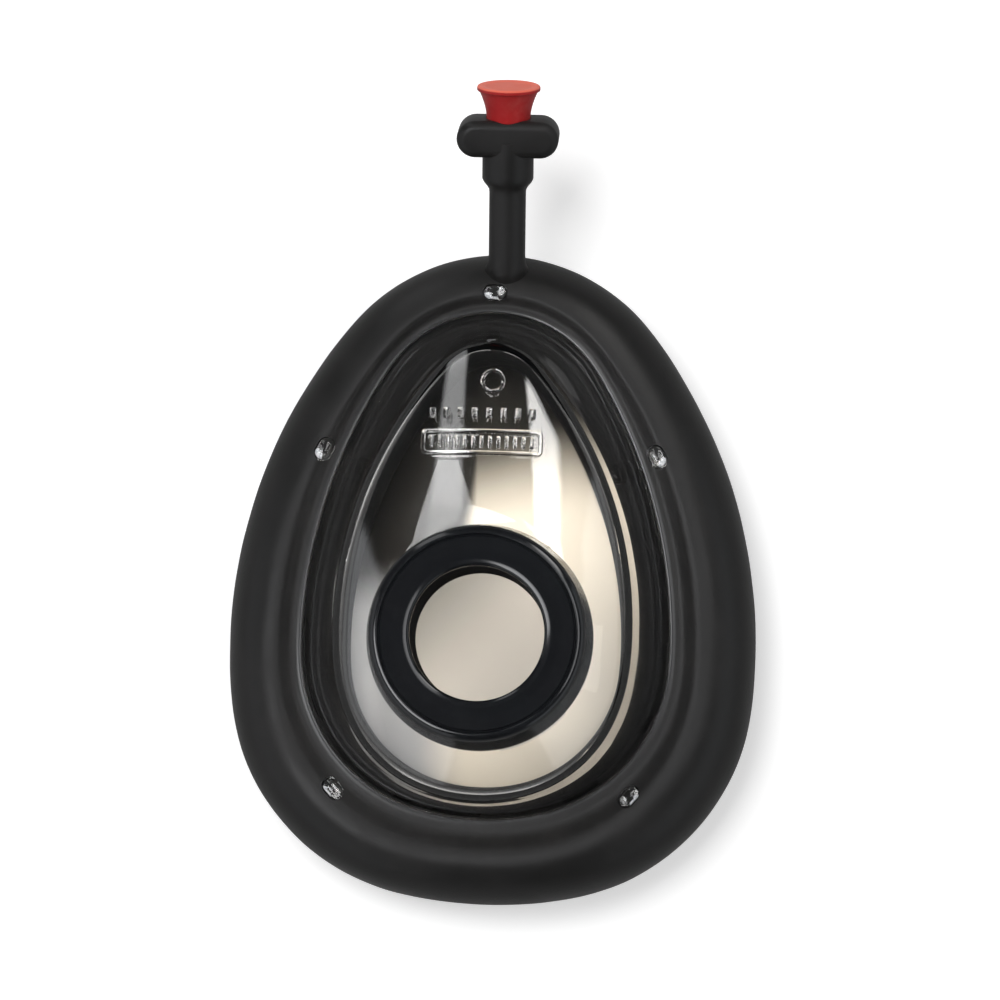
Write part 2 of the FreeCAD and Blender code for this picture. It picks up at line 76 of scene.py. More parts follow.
# air cushion
BEAD_HEIGHT = 21.0
BEAD_MIDDLE = 9.8
RIDGE = 0.46
CONTACT_OUTER = 0.36
CONTACT_INNER = 0.56
INNER_BULGE = 1.8
BEAD_ASIDE = 0.8
LIP_EDGE_HEIGHT = 19.8
LIP_EDGE_ROUND = 0.42
LIP_HOLLOW = 0.42
BEAD_UNEVEN = 0.16

# dome
WALL = 2.0
SEAT_HEIGHT = 16.6
FLANGE_THICK = 1.8
FLANGE_PAST_RIDGE = 1.9
GROOVE_GAP = 0.15
SHOULDER_HEIGHT = 29.0
CROWN_HEIGHT = 38.5
CROWN_PLATE = 2.2
LANDING_RADIUS = 18.4
POCKET_RADIUS = 16.9
CROWN_HOLE_RADIUS = 13.5
FOOT_FILLET = 0.7
SHOULDER_BEND = 3.6
ROOF_START = 0.36
SHOULDER_TIGHTEST = 0.4

# locking tabs: place on the ridge and the way their long side runs, in degrees
TAB_LONG = 3.8
TAB_DEEP = 2.4
TAB_TOP = 21.9
TAB_GAP = 0.25
TAB_ROUND = 0.85
SIDE_TAB = (28.6, 32.8, 62.0)
CHIN_TAB = (25.2, -25.3, -48.0)

# plain raised marks on the roof: places, then count, pitch, width, length and place of each row
FRAME_PLACE = (-0.8, 32.9)
RING_MARK_PLACE = (0.7, 43.6)
RIB_ROWS = ((13, 1.4, 0.75, 2.3, FRAME_PLACE), (8, 2.4, 1.25, 2.0, (-0.9, 37.9)))
RIB_HEIGHT = 0.8
FRAME_SIZE = (20.5, 4.5)
FRAME_CORNER = 0.9
MARK_SINK = 0.08

# connector ring
BORE_RADIUS = 11.0
RING_BASE_RADIUS = 18.9
RING_TOP_RADIUS = 17.6
RING_TOP = 50.1
RING_EDGE_ROUND = 1.2
RING_STEP = 0.5
RING_LIP_ROUND = 0.9
RING_DISH = 0.25
RING_FLANGE_RADIUS = 15.5
RING_FLANGE_THICK = 2.6

# filler tube, neck, collar and plug, along one rising axis
TUBE_ROOT = Vector((1.85, 65.4, 19.9))
TUBE_RISE = math.radians(23.0)
TUBE_RADIUS = 3.15
NECK_RADIUS = 4.4
TAPER = (13.4, 15.6)
COLLAR_START = 19.6
COLLAR_LONG = 6.4
COLLAR_END = COLLAR_START + COLLAR_LONG
TUBE_TOP = COLLAR_START + COLLAR_LONG * 0.4
COLLAR_HALF_WIDTH = 8.7
COLLAR_DEEP = 8.6
COLLAR_ROUND = 1.5
PLUG_RADIUS = 3.75
PLUG_HEAD_RADIUS = 5.4
PLUG_HEAD_THICK = 0.9
PLUG_RISE = 5.55
PLUG_SEAT_DEEP = 1.2
PLUG_SHANK = 9.0
HEAD_LIP = 0.35
HEAD_DISH = 0.16


# shapes


def smooth_step(low, high, value):
    share = np.clip((np.asarray(value, dtype=float) - low) / (high - low), 0.0, 1.0)
    return share * share * (3.0 - 2.0 * share)


HEADINGS = (np.arange(TURN) + 0.5) * 2.0 * math.pi / TURN
FOLDED = np.arctan2(np.sin(HEADINGS), np.abs(np.cos(HEADINGS)))


def egg_reach(nose, chin, half, nose_radius, chin_radius, corner_radius):
    """How far a six-arc egg reaches along each heading, with its joints softened a little."""
    nose_at = nose - nose_radius
    side_radius = (nose_at**2 + half**2 - nose_radius**2) / (2.0 * (half - nose_radius))
    side_at = half - side_radius
    chin_at = chin_radius - chin
    gap = math.hypot(side_at, chin_at)
    unit = (-side_at / gap, chin_at / gap)
    from_side = side_radius - corner_radius
    from_chin = chin_radius - corner_radius
    along = (from_side**2 - from_chin**2 + gap**2) / (2.0 * gap)
    across = math.sqrt(max(from_side**2 - along**2, 0.0))
    corner_x = side_at + unit[0] * along + unit[1] * across
    corner_y = unit[1] * along - unit[0] * across
    nose_joint = math.atan2(nose_at, -side_at)
    side_joint = math.atan2(corner_y, corner_x - side_at)
    chin_joint = math.atan2(corner_y - chin_at, corner_x)
    east, north = np.cos(FOLDED), np.sin(FOLDED)
    reach = np.select(
        [FOLDED > nose_joint, FOLDED > side_joint, FOLDED > chin_joint],
        [
            nose_at * north + nose_radius,
            side_at * east + side_radius,
            corner_x * east + corner_y * north + corner_radius,
        ],
        chin_at * north + chin_radius,
    )
    spread = np.arange(-12, 13)
    weights = np.exp(-0.5 * (spread / EDGE_SOFTNESS) ** 2)
    weights /= weights.sum()
    return sum(weight * np.roll(reach, int(step)) for weight, step in zip(weights, spread))


REACH = {name: egg_reach(*sizes) for name, sizes in OUTLINES.items()}
# the blown-up bead lies a little to one side of the dome
REACH["bead"] = REACH["bead"] + BEAD_ASIDE * np.cos(HEADINGS) - 0.3 * np.abs(np.cos(HEADINGS))


def between(first, second, share, grow=0.0):
    return REACH[first] + (REACH[second] - REACH[first]) * share + grow


RIDGE_LINE = between("bead", "shoulder", RIDGE)


def level(reach, height):
    """The ring of points of an outline at a height."""
    slope = (np.roll(reach, -1) - np.roll(reach, 1)) / (2.0 * math.sin(2.0 * math.pi / TURN))
    east = reach * np.cos(HEADINGS) - slope * np.sin(HEADINGS)
    north = reach * np.sin(HEADINGS) + slope * np.cos(HEADINGS)
    return np.stack([east, north, np.broadcast_to(height, east.shape)], axis=1)


class Form:
    """Points and faces gathered from several shells."""

    def __init__(self):
        self.points = []
        self.faces = []

    def add(self, points, faces):
        start = len(self.points)
        self.points.extend(tuple(point) for point in points)
        self.faces.extend(tuple(start + corner for corner in face) for face in faces)

    def rings(self, rings, closed=False):
        """Joins rings of equally many points into a skin; closed joins the last to the first."""
        count = len(rings[0])
        points = [point for ring in rings for point in ring]
        faces = []
        for row in range(len(rings) if closed else len(rings) - 1):
            here = row * count
            there = (row + 1) % len(rings) * count
            for step in range(count):
                after = (step + 1) % count
                faces.append((here + step, here + after, there + after, there + step))
        self.add(points, faces)

    def capped(self, rings, first=None, last=None):
        """A skin of rings whose two ends close on a point, or on a flat face where none is given."""
        count = len(rings[0])
        start = len(self.points)
        self.rings(rings)
        end_start = start + (len(rings) - 1) * count
        for pole, ring_start, turned in ((first, start, True), (last, end_start, False)):
            corners = [ring_start + step for step in range(count)]
            if turned:
                corners.reverse()
            if pole is None:
                self.faces.append(tuple(corners))
                continue
            self.points.append(tuple(pole))
            tip = len(self.points) - 1
            for step in range(count):
                self.faces.append((corners[step], corners[(step + 1) % count], tip))


def linked(name, data):
    """A new object of the data, in the scene."""
    thing = bpy.data.objects.new(name, data)
    bpy.context.scene.collection.objects.link(thing)
    return thing


def joined(name, meshes):
    """One mesh of several."""
    whole = bmesh.new()
    for part in meshes:
        whole.from_mesh(part)
    mesh = bpy.data.meshes.new(name)
    whole.to_mesh(mesh)
    whole.free()
    return mesh


def search_tree(mesh):
    corners = [vertex.co[:] for vertex in mesh.vertices]
    return BVHTree.FromPolygons(corners, [polygon.vertices[:] for polygon in mesh.polygons])


def mesh_of(name, form):
    """A mesh of the form, in millimetres, with faces turned outwards."""
    mesh = bpy.data.meshes.new(name)
    mesh.from_pydata(form.points, [], form.faces)
    work = bmesh.new()
    work.from_mesh(mesh)
    bmesh.ops.recalc_face_normals(work, faces=work.faces)
    work.to_mesh(mesh)
    work.free()
    return mesh


def piece_of(name, mesh, material, sharp=40.0):
    """The finished object of a mesh in millimetres, moved to its place in the row frame."""
    mesh.transform(Matrix.Translation(Vector((0.0, BORE_PLACE.y, 0.0))) @ Matrix.Scale(MM, 4))
    mesh.shade_smooth()
    mesh.set_sharp_from_angle(angle=math.radians(sharp))
    mesh.materials.clear()
    mesh.materials.append(material)
    mesh.name = name
    return linked(name, mesh)


def carved(mesh, tool, name):
    """The mesh less the tool, both in millimetres."""
    base = linked("carve_base", mesh)
    knife = linked("carve_tool", tool)
    cut = base.modifiers.new("carve", "BOOLEAN")
    cut.operation = "DIFFERENCE"
    cut.solver = "EXACT"
    cut.object = knife
    graph = bpy.context.evaluated_depsgraph_get()
    result = bpy.data.meshes.new_from_object(base.evaluated_get(graph))
    result.name = name
    for thing in (base, knife):
        bpy.data.objects.remove(thing)
    return result


def rounded(corners, steps=6, closed=False, longest=1.4):
    """A section line through (r, z, radius) corners, each corner rounded to its radius, and long
    straight runs split so that smooth shading stays flat on them."""
    count = len(corners)
    line = []
    for index, (r, z, radius) in enumerate(corners):
        here = Vector((r, z))
        ends = not closed and index in (0, count - 1)
        if radius == 0.0 or ends:
            line.append(here)
            continue
        back = (Vector(corners[index - 1][:2]) - here).normalized()
        ahead = (Vector(corners[(index + 1) % count][:2]) - here).normalized()
        half = math.acos(max(-1.0, min(1.0, back.dot(ahead)))) / 2.0
        centre = here + (back + ahead).normalized() * radius / math.sin(half)
        reach = radius / math.tan(half)
        first = here + back * reach - centre
        last = here + ahead * reach - centre
        swing = math.atan2(first.x * last.y - first.y * last.x, first.dot(last))
        for step in range(steps + 1):
            turn = swing * step / steps
            cosine, sine = math.cos(turn), math.sin(turn)
            spun = Vector((first.x * cosine - first.y * sine, first.x * sine + first.y * cosine))
            line.append(centre + spun)
    dense = []
    for index, point in enumerate(line):
        dense.append(point)
        if index == len(line) - 1 and not closed:
            break
        after = line[(index + 1) % len(line)]
        splits = int((after - point).length / longest)
        dense.extend(point.lerp(after, step / (splits + 1)) for step in range(1, splits + 1))
    return dense


def circle(radius, height, count):
    turns = np.arange(count) * 2.0 * math.pi / count
    return np.stack([radius * np.cos(turns), radius * np.sin(turns), np.full(count, height)], axis=1)


def stadium(half_long, radius, height, steps=12):
    """A round-ended outline with its long side on X."""
    reach = half_long - radius
    points = []
    for side, start in ((1.0, -math.pi / 2.0), (-1.0, math.pi / 2.0)):
        for step in range(steps + 1):
            turn = start + math.pi * step / steps
            points.append((side * reach + radius * math.cos(turn), radius * math.sin(turn), height))
    return np.array(points)


def tab_places():
    places = [(0.0, float(RIDGE_LINE[TURN // 4]), 0.0)]
    for half, forward, lean in (SIDE_TAB, CHIN_TAB):
        places.append((half, forward, math.radians(-lean)))
        places.append((-half, forward, math.radians(lean)))
    return places


def placed(points, place):
    """Points turned and moved to a tab's place."""
    across, forward, lean = place
    cosine, sine = math.cos(lean), math.sin(lean)
    east = points[:, 0] * cosine - points[:, 1] * sine + across
    north = points[:, 0] * sine + points[:, 1] * cosine + forward
    return np.stack([east, north, points[:, 2]], axis=1)


# air cushion


def quarter(steps):
    turns = [math.pi / 2.0 * step / steps for step in range(steps + 1)]
    return [(1.0 - math.cos(turn), math.sin(turn)) for turn in turns]


def bead_section():
    """The cushion's rings round its section: the face side, groove, lip, ridge, outside, contact."""
    rings = []
    for share, lift in reversed(quarter(12)):
        inwards = 1.0 - (1.0 - CONTACT_INNER) * share
        swell = INNER_BULGE * (1.0 - share)
        rings.append(level(between("bead", "shoulder", inwards, -swell), BEAD_MIDDLE * (1.0 - lift)))
    for share, lift in quarter(8)[1:]:
        height = BEAD_MIDDLE + (SEAT_HEIGHT - BEAD_MIDDLE) * lift
        swell = INNER_BULGE * (1.0 - share)
        rings.append(level(between("shoulder", "foot", share, -WALL * share - swell), height))
    room = between("bead", "shoulder", RIDGE, FLANGE_PAST_RIDGE + GROOVE_GAP)
    groove_top = SEAT_HEIGHT + FLANGE_THICK + GROOVE_GAP
    throat = REACH["foot"] + GROOVE_GAP
    rings.append(level(room, SEAT_HEIGHT))
    rings.append(level(room, groove_top))
    rings.append(level(throat, groove_top))
    rings.append(level(throat, LIP_EDGE_HEIGHT - LIP_EDGE_ROUND - 0.2))
    for share, lift in quarter(5):
        height = LIP_EDGE_HEIGHT - LIP_EDGE_ROUND * (1.0 - lift)
        rings.append(level(throat + LIP_EDGE_ROUND * share, height))
    edge = throat + LIP_EDGE_ROUND
    for step in range(1, 15):
        share = step / 14.0
        rise = (BEAD_HEIGHT - LIP_EDGE_HEIGHT) * float(smooth_step(0.0, 1.0, share))
        hollow = LIP_HOLLOW * math.sin(math.pi * min(share * 1.25, 1.0)) ** 2
        rings.append(level(edge + (RIDGE_LINE - edge) * share, LIP_EDGE_HEIGHT + rise - hollow))
    for share, lift in reversed(quarter(18)[:-1]):
        height = BEAD_MIDDLE + (BEAD_HEIGHT - BEAD_MIDDLE) * lift
        rings.append(level(between("bead", "shoulder", RIDGE * share), height))
    for share, lift in quarter(14)[1:]:
        height = BEAD_MIDDLE * (1.0 - lift)
        rings.append(level(between("bead", "shoulder", CONTACT_OUTER * share), height))
    rings.append(level(between("bead", "shoulder", (CONTACT_OUTER + CONTACT_INNER) / 2.0), 0.0))
    return rings


def over_headings(points, measure):
    """A measure of each point, from how far it reaches along every heading."""
    normals = np.stack([np.cos(HEADINGS), np.sin(HEADINGS)])
    block = 4000
    return np.concatenate(
        [measure(points[start : start + block, :2] @ normals) for start in range(0, len(points), block)]
    )


def inward_share(points):
    """How far each point lies from the widest outline (0) to the shoulder outline (1)."""
    spread = REACH["bead"] - REACH["shoulder"]
    return over_headings(points, lambda reach: ((REACH["bead"] - reach) / spread).min(axis=1))


def unevened(points):
    """The slight swell and slack of a blown-up bead, kept off the lip, the groove and the table."""
    shares = inward_share(points)
    outer = 1.0 - smooth_step(RIDGE * 0.75, RIDGE, shares)
    free = smooth_step(0.6, 4.0, points[:, 2]) * outer
    out = points.copy()
    for index, amount in enumerate(free):
        if amount > 0.0:
            x, y, z = points[index]
            broad = noise.noise(Vector((x, y, z * 2.0)) / 17.0)
            swell = broad * 0.7 + noise.noise(Vector((y, x, z)) / 6.0) * 0.3
            out[index, :2] *= 1.0 + BEAD_UNEVEN * amount * swell / max(math.hypot(x, y), 1.0)
            out[index, 2] += BEAD_UNEVEN * 0.8 * amount * swell
    return out


TUBE_AHEAD = Vector((0.0, math.cos(TUBE_RISE), math.sin(TUBE_RISE)))
TUBE_SIDE = Vector((1.0, 0.0, 0.0))
TUBE_UP = Vector((0.0, -math.sin(TUBE_RISE), math.cos(TUBE_RISE)))


def on_tube(side, up, along):
    return TUBE_ROOT + TUBE_SIDE * side + TUBE_UP * up + TUBE_AHEAD * along


def tube_radius(along):
    return TUBE_RADIUS + (NECK_RADIUS - TUBE_RADIUS) * float(smooth_step(TAPER[0], TAPER[1], along))


def tube_path(turn, way):
    """A point and its outward direction on one strip of the tube: way runs from the collar down the
    tube and over the round end that sits in the bead."""
    out = TUBE_SIDE * math.cos(turn) + TUBE_UP * math.sin(turn)
    if way <= TUBE_TOP:
        along = TUBE_TOP - way
        return TUBE_ROOT + TUBE_AHEAD * along + out * tube_radius(along), out
    swing = min((way - TUBE_TOP) / TUBE_RADIUS, math.pi / 2.0)
    facing = out * math.cos(swing) - TUBE_AHEAD * math.sin(swing)
    return TUBE_ROOT + facing * TUBE_RADIUS, facing


def make_tube(form, bead_tree):
    """The filler tube, flared where it runs into the bead."""
    strips = 96
    steps = 480
    flare_long = 3.4
    flare_out = 1.5
    flare_behind = 0.35
    columns = []
    for strip in range(strips):
        turn = 2.0 * math.pi * strip / strips
        whole = TUBE_TOP + TUBE_RADIUS * math.pi / 2.0
        entry = whole
        for step in range(steps):
            way = whole * step / steps
            point, _ = tube_path(turn, way)
            near, normal, _, distance = bead_tree.find_nearest(point)
            if (point - near).dot(normal) < 0.0 and distance < 8.0:
                entry = way
                break
        flare_start = entry - flare_long
        ways = list(np.linspace(0.0, flare_start, 34))
        ways += [flare_start + flare_long * step / 14.0 for step in range(1, 15)]
        column = []
        for way in ways:
            point, out = tube_path(turn, way)
            closeness = max(0.0, (way - flare_start) / flare_long)
            reach = flare_behind + (flare_out - flare_behind) * float(smooth_step(-0.75, 0.1, out.y))
            swelled = point + out * reach * (1.0 - math.sqrt(max(0.0, 1.0 - closeness**2)))
            near, normal, _, _ = bead_tree.find_nearest(swelled)
            column.append(swelled.lerp(near - normal * 0.06, closeness**3))
        columns.append(column)
    rings = [[columns[strip][row] for strip in range(strips)] for row in range(len(columns[0]))]
    form.capped(rings, on_tube(0.0, 0.0, TUBE_TOP), TUBE_ROOT + Vector((0.0, 0.0, -1.2)))


def make_collar():
    """The winged collar: a round-ended pillow with the plug's seat bored into its far end."""
    layers = []
    for step in range(-10, 11):
        swing = math.pi / 2.0 * step / 10.0
        straight = COLLAR_DEEP / 2.0 - COLLAR_ROUND
        up = math.copysign(straight, step) + COLLAR_ROUND * math.sin(swing) if step else 0.0
        layers.append((up, COLLAR_ROUND * (1.0 - math.cos(swing))))
    form = Form()
    rings = []
    middle = COLLAR_START + COLLAR_LONG / 2.0
    for up, shrink in layers:
        flat = stadium(COLLAR_HALF_WIDTH - shrink, COLLAR_LONG / 2.0 - shrink, 0.0, steps=18)
        rings.append([on_tube(x, up, middle + along) for x, along, _ in flat])
    form.capped(rings)
    collar = mesh_of("collar", form)
    tool = Form()
    seat = PLUG_RADIUS + 0.1
    seat_bottom = COLLAR_END - PLUG_SEAT_DEEP - 0.1
    turns = [2.0 * math.pi * step / 64 for step in range(64)]
    tool.capped(
        [
            [on_tube(seat * math.cos(turn), seat * math.sin(turn), along) for turn in turns]
            for along in (seat_bottom, seat_bottom + 6.0)
        ]
    )
    return carved(collar, mesh_of("seat_tool", tool), "collar")


def make_cushion(material):
    points = unevened(np.concatenate(bead_section()))
    form = Form()
    form.rings([points[start : start + TURN] for start in range(0, len(points), TURN)], closed=True)
    bead = mesh_of("bead", form)
    tree = search_tree(bead)
    slots = Form()
    for place in tab_places():
        outline = stadium(TAB_LONG / 2.0 + TAB_GAP, TAB_DEEP / 2.0 + TAB_GAP, 0.0)
        slots.capped([placed(outline + (0.0, 0.0, height), place) for height in (18.0, 24.0)])
    bead = carved(bead, mesh_of("slots", slots), "bead")
    tube = Form()
    make_tube(tube, tree)
    mesh = joined("cushion", (bead, mesh_of("tube", tube), make_collar()))
    mark_cushion(mesh)
    return piece_of("air_cushion_rubber", mesh, material, sharp=38.0)


def mark_cushion(mesh):
    """Stores where the lip's edge, the hollow behind it and the inner side run, for the rubber's wear, the
    edge's painted highlight, the dust and the inner side's painted shade.
    """
    points = np.array([vertex.co[:] for vertex in mesh.vertices])
    shares = inward_share(points)
    past_throat = over_headings(points, lambda reach: (reach - REACH["foot"] - GROOVE_GAP).max(axis=1))
    on_lip = smooth_step(18.7, 19.3, points[:, 2]) * smooth_step(RIDGE, RIDGE + 0.08, shares)
    edge = on_lip * (1.0 - smooth_step(0.5, 1.0, past_throat))
    hollow = on_lip * (1.0 - smooth_step(20.2, 20.8, points[:, 2]))
    inner = smooth_step(RIDGE + 0.05, RIDGE + 0.2, shares) * (1.0 - smooth_step(17.5, 18.5, points[:, 2]))
    for name, values in (("lip_edge", edge), ("lip_hollow", hollow), ("inner_side", inner)):
        layer = mesh.attributes.new(name, "FLOAT", "POINT")
        layer.data.foreach_set("value", np.asarray(values, dtype=np.float32))


# clear dome


def held_out(ring, radius):
    """A ring with no point nearer to the bore's axis than a radius."""
    reach = np.hypot(ring[:, 0], ring[:, 1])
    grow = np.maximum(radius / reach, 1.0)
    return np.stack([ring[:, 0] * grow, ring[:, 1] * grow, ring[:, 2]], axis=1)


def dome_outside():
    """Levels from the dome's foot over the wall, the soft shoulder and the roof to the crown."""
    flange_top = SEAT_HEIGHT + FLANGE_THICK
    wall_rise = SHOULDER_HEIGHT - flange_top
    roof_rise = CROWN_HEIGHT - SHOULDER_HEIGHT
    rings = []
    for step in range(6):
        turn = math.pi / 2.0 * step / 5.0
        height = flange_top + FOOT_FILLET * (1.0 - math.cos(turn))
        out = FOOT_FILLET * (1.0 - math.sin(turn))
        rings.append(level(between("foot", "shoulder", (height - flange_top) / wall_rise, out), height))
    # the shoulder turns over softly at the sides and more tightly at the nose and the chin
    from_side = np.sin(HEADINGS) + 0.15
    spread = np.where(from_side > 0.0, 0.42, 0.6)
    tight = SHOULDER_TIGHTEST + (1.0 - SHOULDER_TIGHTEST) * np.exp(-((from_side / spread) ** 2))
    bend = SHOULDER_BEND * tight
    roof_start = ROOF_START * tight
    bend_start = SHOULDER_HEIGHT - bend
    low = flange_top + FOOT_FILLET * 1.5
    for step in range(8):
        height = low + (bend_start - low) * step / 7.0
        rings.append(level(between("foot", "shoulder", (height - flange_top) / wall_rise), height))
    start = between("foot", "shoulder", 1.0 - bend / wall_rise)
    end = between("shoulder", "crown", roof_start**2)
    end_height = SHOULDER_HEIGHT + roof_rise * roof_start
    for step in range(1, 14):
        share = step / 14.0
        first, knee, last = (1.0 - share) ** 2, 2.0 * share * (1.0 - share), share**2
        reach = start * first + REACH["shoulder"] * knee + end * last
        height = bend_start * first + (SHOULDER_HEIGHT + 0.2) * knee + end_height * last
        rings.append(level(reach, height))
    for step in range(27):
        share = roof_start + (1.0 - roof_start) * step / 26.0
        rings.append(level(between("shoulder", "crown", share**2), SHOULDER_HEIGHT + roof_rise * share))
    return rings


def sunk_inside(rings, thickness):
    """The rings moved inwards along the skin's own normals, so that the wall is even."""
    grid = np.stack(rings)
    up = np.gradient(grid, axis=0)
    around = np.roll(grid, -1, axis=1) - np.roll(grid, 1, axis=1)
    normals = np.cross(around, up)
    normals /= np.linalg.norm(normals, axis=2, keepdims=True)
    return list(grid - normals * thickness)


def dome_section():
    """The dome's rings round its section: flange, wall, shoulder, roof, crown, and back inside."""
    flange_top = SEAT_HEIGHT + FLANGE_THICK
    flange_edge = between("bead", "shoulder", RIDGE, FLANGE_PAST_RIDGE)
    corner = 0.3
    rings = [
        level(flange_edge - corner, SEAT_HEIGHT),
        level(flange_edge, SEAT_HEIGHT + corner),
        level(flange_edge, flange_top - corner),
        level(flange_edge - corner, flange_top),
    ]
    outside = dome_outside()
    rings += [held_out(ring, LANDING_RADIUS) for ring in outside]
    around = level(REACH["crown"], CROWN_HEIGHT)
    bearing = np.arctan2(around[:, 1], around[:, 0])

    def round_level(radius, height):
        return np.stack([radius * np.cos(bearing), radius * np.sin(bearing), np.full(TURN, height)], axis=1)

    plate_bottom = CROWN_HEIGHT - CROWN_PLATE
    rings.append(round_level(LANDING_RADIUS - 0.3, CROWN_HEIGHT))
    rings.append(round_level(CROWN_HOLE_RADIUS, CROWN_HEIGHT))
    rings.append(round_level(CROWN_HOLE_RADIUS, plate_bottom))
    rings.append(round_level(POCKET_RADIUS, plate_bottom))
    inside = sunk_inside(outside, WALL)
    for ring in reversed(inside[8:]):
        lower = held_out(ring, POCKET_RADIUS)
        lower[:, 2] = np.minimum(lower[:, 2], plate_bottom)
        rings.append(lower)
    slant = (SEAT_HEIGHT - flange_top) / (SHOULDER_HEIGHT - flange_top)
    rings.append(level(between("foot", "shoulder", slant, -WALL - 0.25), SEAT_HEIGHT))
    return rings


GEOMETRY = "NodeSocketGeometry"
PAINT = ("Plastic", "NodeSocketMaterial", None)


def stood_up(tree, leave, plastic, **values):
    """Ends a geometry tree: a piece on each point, made real and given its material."""
    stand = node_of(tree, "GeometryNodeInstanceOnPoints", **values).outputs[0]
    real = node_of(tree, "GeometryNodeRealizeInstances", Geometry=stand).outputs[0]
    paint = node_of(tree, "GeometryNodeSetMaterial", Geometry=real, Material=plastic).outputs[0]
    tree.links.new(paint, leave.inputs[0])


def make_tab_tree():
    """A geometry tree that stands a round-ended tab on each point, turned by its lean."""
    sizes = {"Long": TAB_LONG, "Deep": TAB_DEEP, "Bottom": SEAT_HEIGHT, "Top": TAB_TOP, "Round": TAB_ROUND}
    tree, entry, leave = new_group(
        "locking_tabs",
        [("Places", GEOMETRY, None), *((name, FLOAT, size) for name, size in sizes.items()), PAINT],
        [("Tabs", GEOMETRY)],
        "GeometryNodeTree",
    )
    given = entry.outputs
    half_deep = math_node(tree, "MULTIPLY", given["Deep"], 0.5)
    reach = math_node(tree, "MULTIPLY", math_node(tree, "SUBTRACT", given["Long"], given["Deep"]), 0.5)
    rise = math_node(tree, "SUBTRACT", given["Top"], given["Bottom"])
    straight = math_node(tree, "SUBTRACT", rise, given["Round"])

    # the outline is a circle whose points are pushed apart along X
    ring = node_of(tree, "GeometryNodeMeshCircle", Vertices=40, Radius=half_deep)
    ring.fill_type = "NGON"
    place = node_of(tree, "GeometryNodeInputPosition").outputs[0]
    side = math_node(tree, "SIGN", axes_of(tree, place)["X"])
    pushed = node_of(tree, "ShaderNodeCombineXYZ", X=math_node(tree, "MULTIPLY", side, reach)).outputs[0]
    outline = node_of(tree, "GeometryNodeSetPosition", Geometry=ring.outputs["Mesh"], Offset=pushed)
    current = outline.outputs[0]

    # drawn up straight, then drawn in over the rounded top
    steps = 5
    for step in range(steps + 1):
        draw = node_of(tree, "GeometryNodeExtrudeMesh", Mesh=current, Individual=False)
        current = draw.outputs["Mesh"]
        if step:
            before, after = (math.pi / 2.0 * (step + move) / steps for move in (-1, 0))
            lift = math_node(tree, "MULTIPLY", given["Round"], math.sin(after) - math.sin(before))
            feed(tree, draw, Selection=top, Offset_Scale=lift)
            was, now = (TAB_DEEP / 2.0 - TAB_ROUND * (1.0 - math.cos(turn)) for turn in (before, after))
            drawn_in = node_of(tree, "GeometryNodeScaleElements", Geometry=current, Scale=now / was)
            current = feed(tree, drawn_in, Selection=draw.outputs["Top"]).outputs["Geometry"]
        else:
            feed(tree, draw, Offset_Scale=straight)
        top = draw.outputs["Top"]
    lean = node_of(tree, "GeometryNodeInputNamedAttribute", Name="lean")
    turn = node_of(tree, "ShaderNodeCombineXYZ", Z=lean.outputs["Attribute"]).outputs[0]
    rotation = node_of(tree, "FunctionNodeEulerToRotation", Euler=turn).outputs[0]
    stood_up(tree, leave, given["Plastic"], Points=given["Places"], Instance=current, Rotation=rotation)
    return tree


def baked(name, source, tree, values):
    """The plain mesh that a geometry tree makes from a source mesh; values go in by name."""
    holder = linked(name, source)
    modifier = holder.modifiers.new(name, "NODES")
    modifier.node_group = tree
    for item in tree.interface.items_tree:
        if item.item_type == "SOCKET" and item.in_out == "INPUT" and item.name in values:
            modifier[item.identifier] = values[item.name]
    graph = bpy.context.evaluated_depsgraph_get()
    mesh = bpy.data.meshes.new_from_object(holder.evaluated_get(graph))
    holder.modifiers.remove(modifier)
    bpy.data.objects.remove(holder)
    return mesh


def make_rib_tree():
    """A geometry tree that lays a row of plain ribs along X."""
    sizes = {"Pitch": 2.0, "Wide": 0.7, "Long": 2.2, "High": 0.3}
    tree, entry, leave = new_group(
        "grip_ribs",
        [("Count", "NodeSocketInt", 9), *((name, FLOAT, size) for name, size in sizes.items()), PAINT],
        [("Ribs", GEOMETRY)],
        "GeometryNodeTree",
    )
    given = entry.outputs
    pitch = node_of(tree, "ShaderNodeCombineXYZ", X=given["Pitch"]).outputs[0]
    line = node_of(tree, "GeometryNodeMeshLine", Count=given["Count"], Offset=pitch).outputs["Mesh"]
    size = node_of(tree, "ShaderNodeCombineXYZ", X=given["Wide"], Y=given["Long"], Z=given["High"]).outputs[0]
    block = node_of(tree, "GeometryNodeMeshCube", Size=size, Vertices_X=3, Vertices_Y=5, Vertices_Z=2)
    soft = node_of(tree, "GeometryNodeSubdivisionSurface", Level=1, Mesh=block.outputs["Mesh"]).outputs[0]
    stood_up(tree, leave, given["Plastic"], Points=line, Instance=soft)
    return tree


def laid_on(mesh, tree, centre):
    """Lays a flat mark, drawn about the origin, on the surface below."""
    for vertex in mesh.vertices:
        x, y, height = vertex.co
        above = Vector((centre[0] + x, centre[1] + y, 80.0))
        hit, normal, _, _ = tree.ray_cast(above, Vector((0.0, 0.0, -1.0)))
        vertex.co = hit + Vector((0.0, 0.0, (height - MARK_SINK) / normal.z))
    return mesh


def raised_profile(line, high, edge):
    """The (inset, height) section of a raised line, its top drawn in by a share of its width."""
    low = high * 0.6
    top = ((line * edge, high), (line * (1.0 - edge), high))
    return ((0.0, 0.0), (0.0, low), *top, (line, low), (line, 0.0))


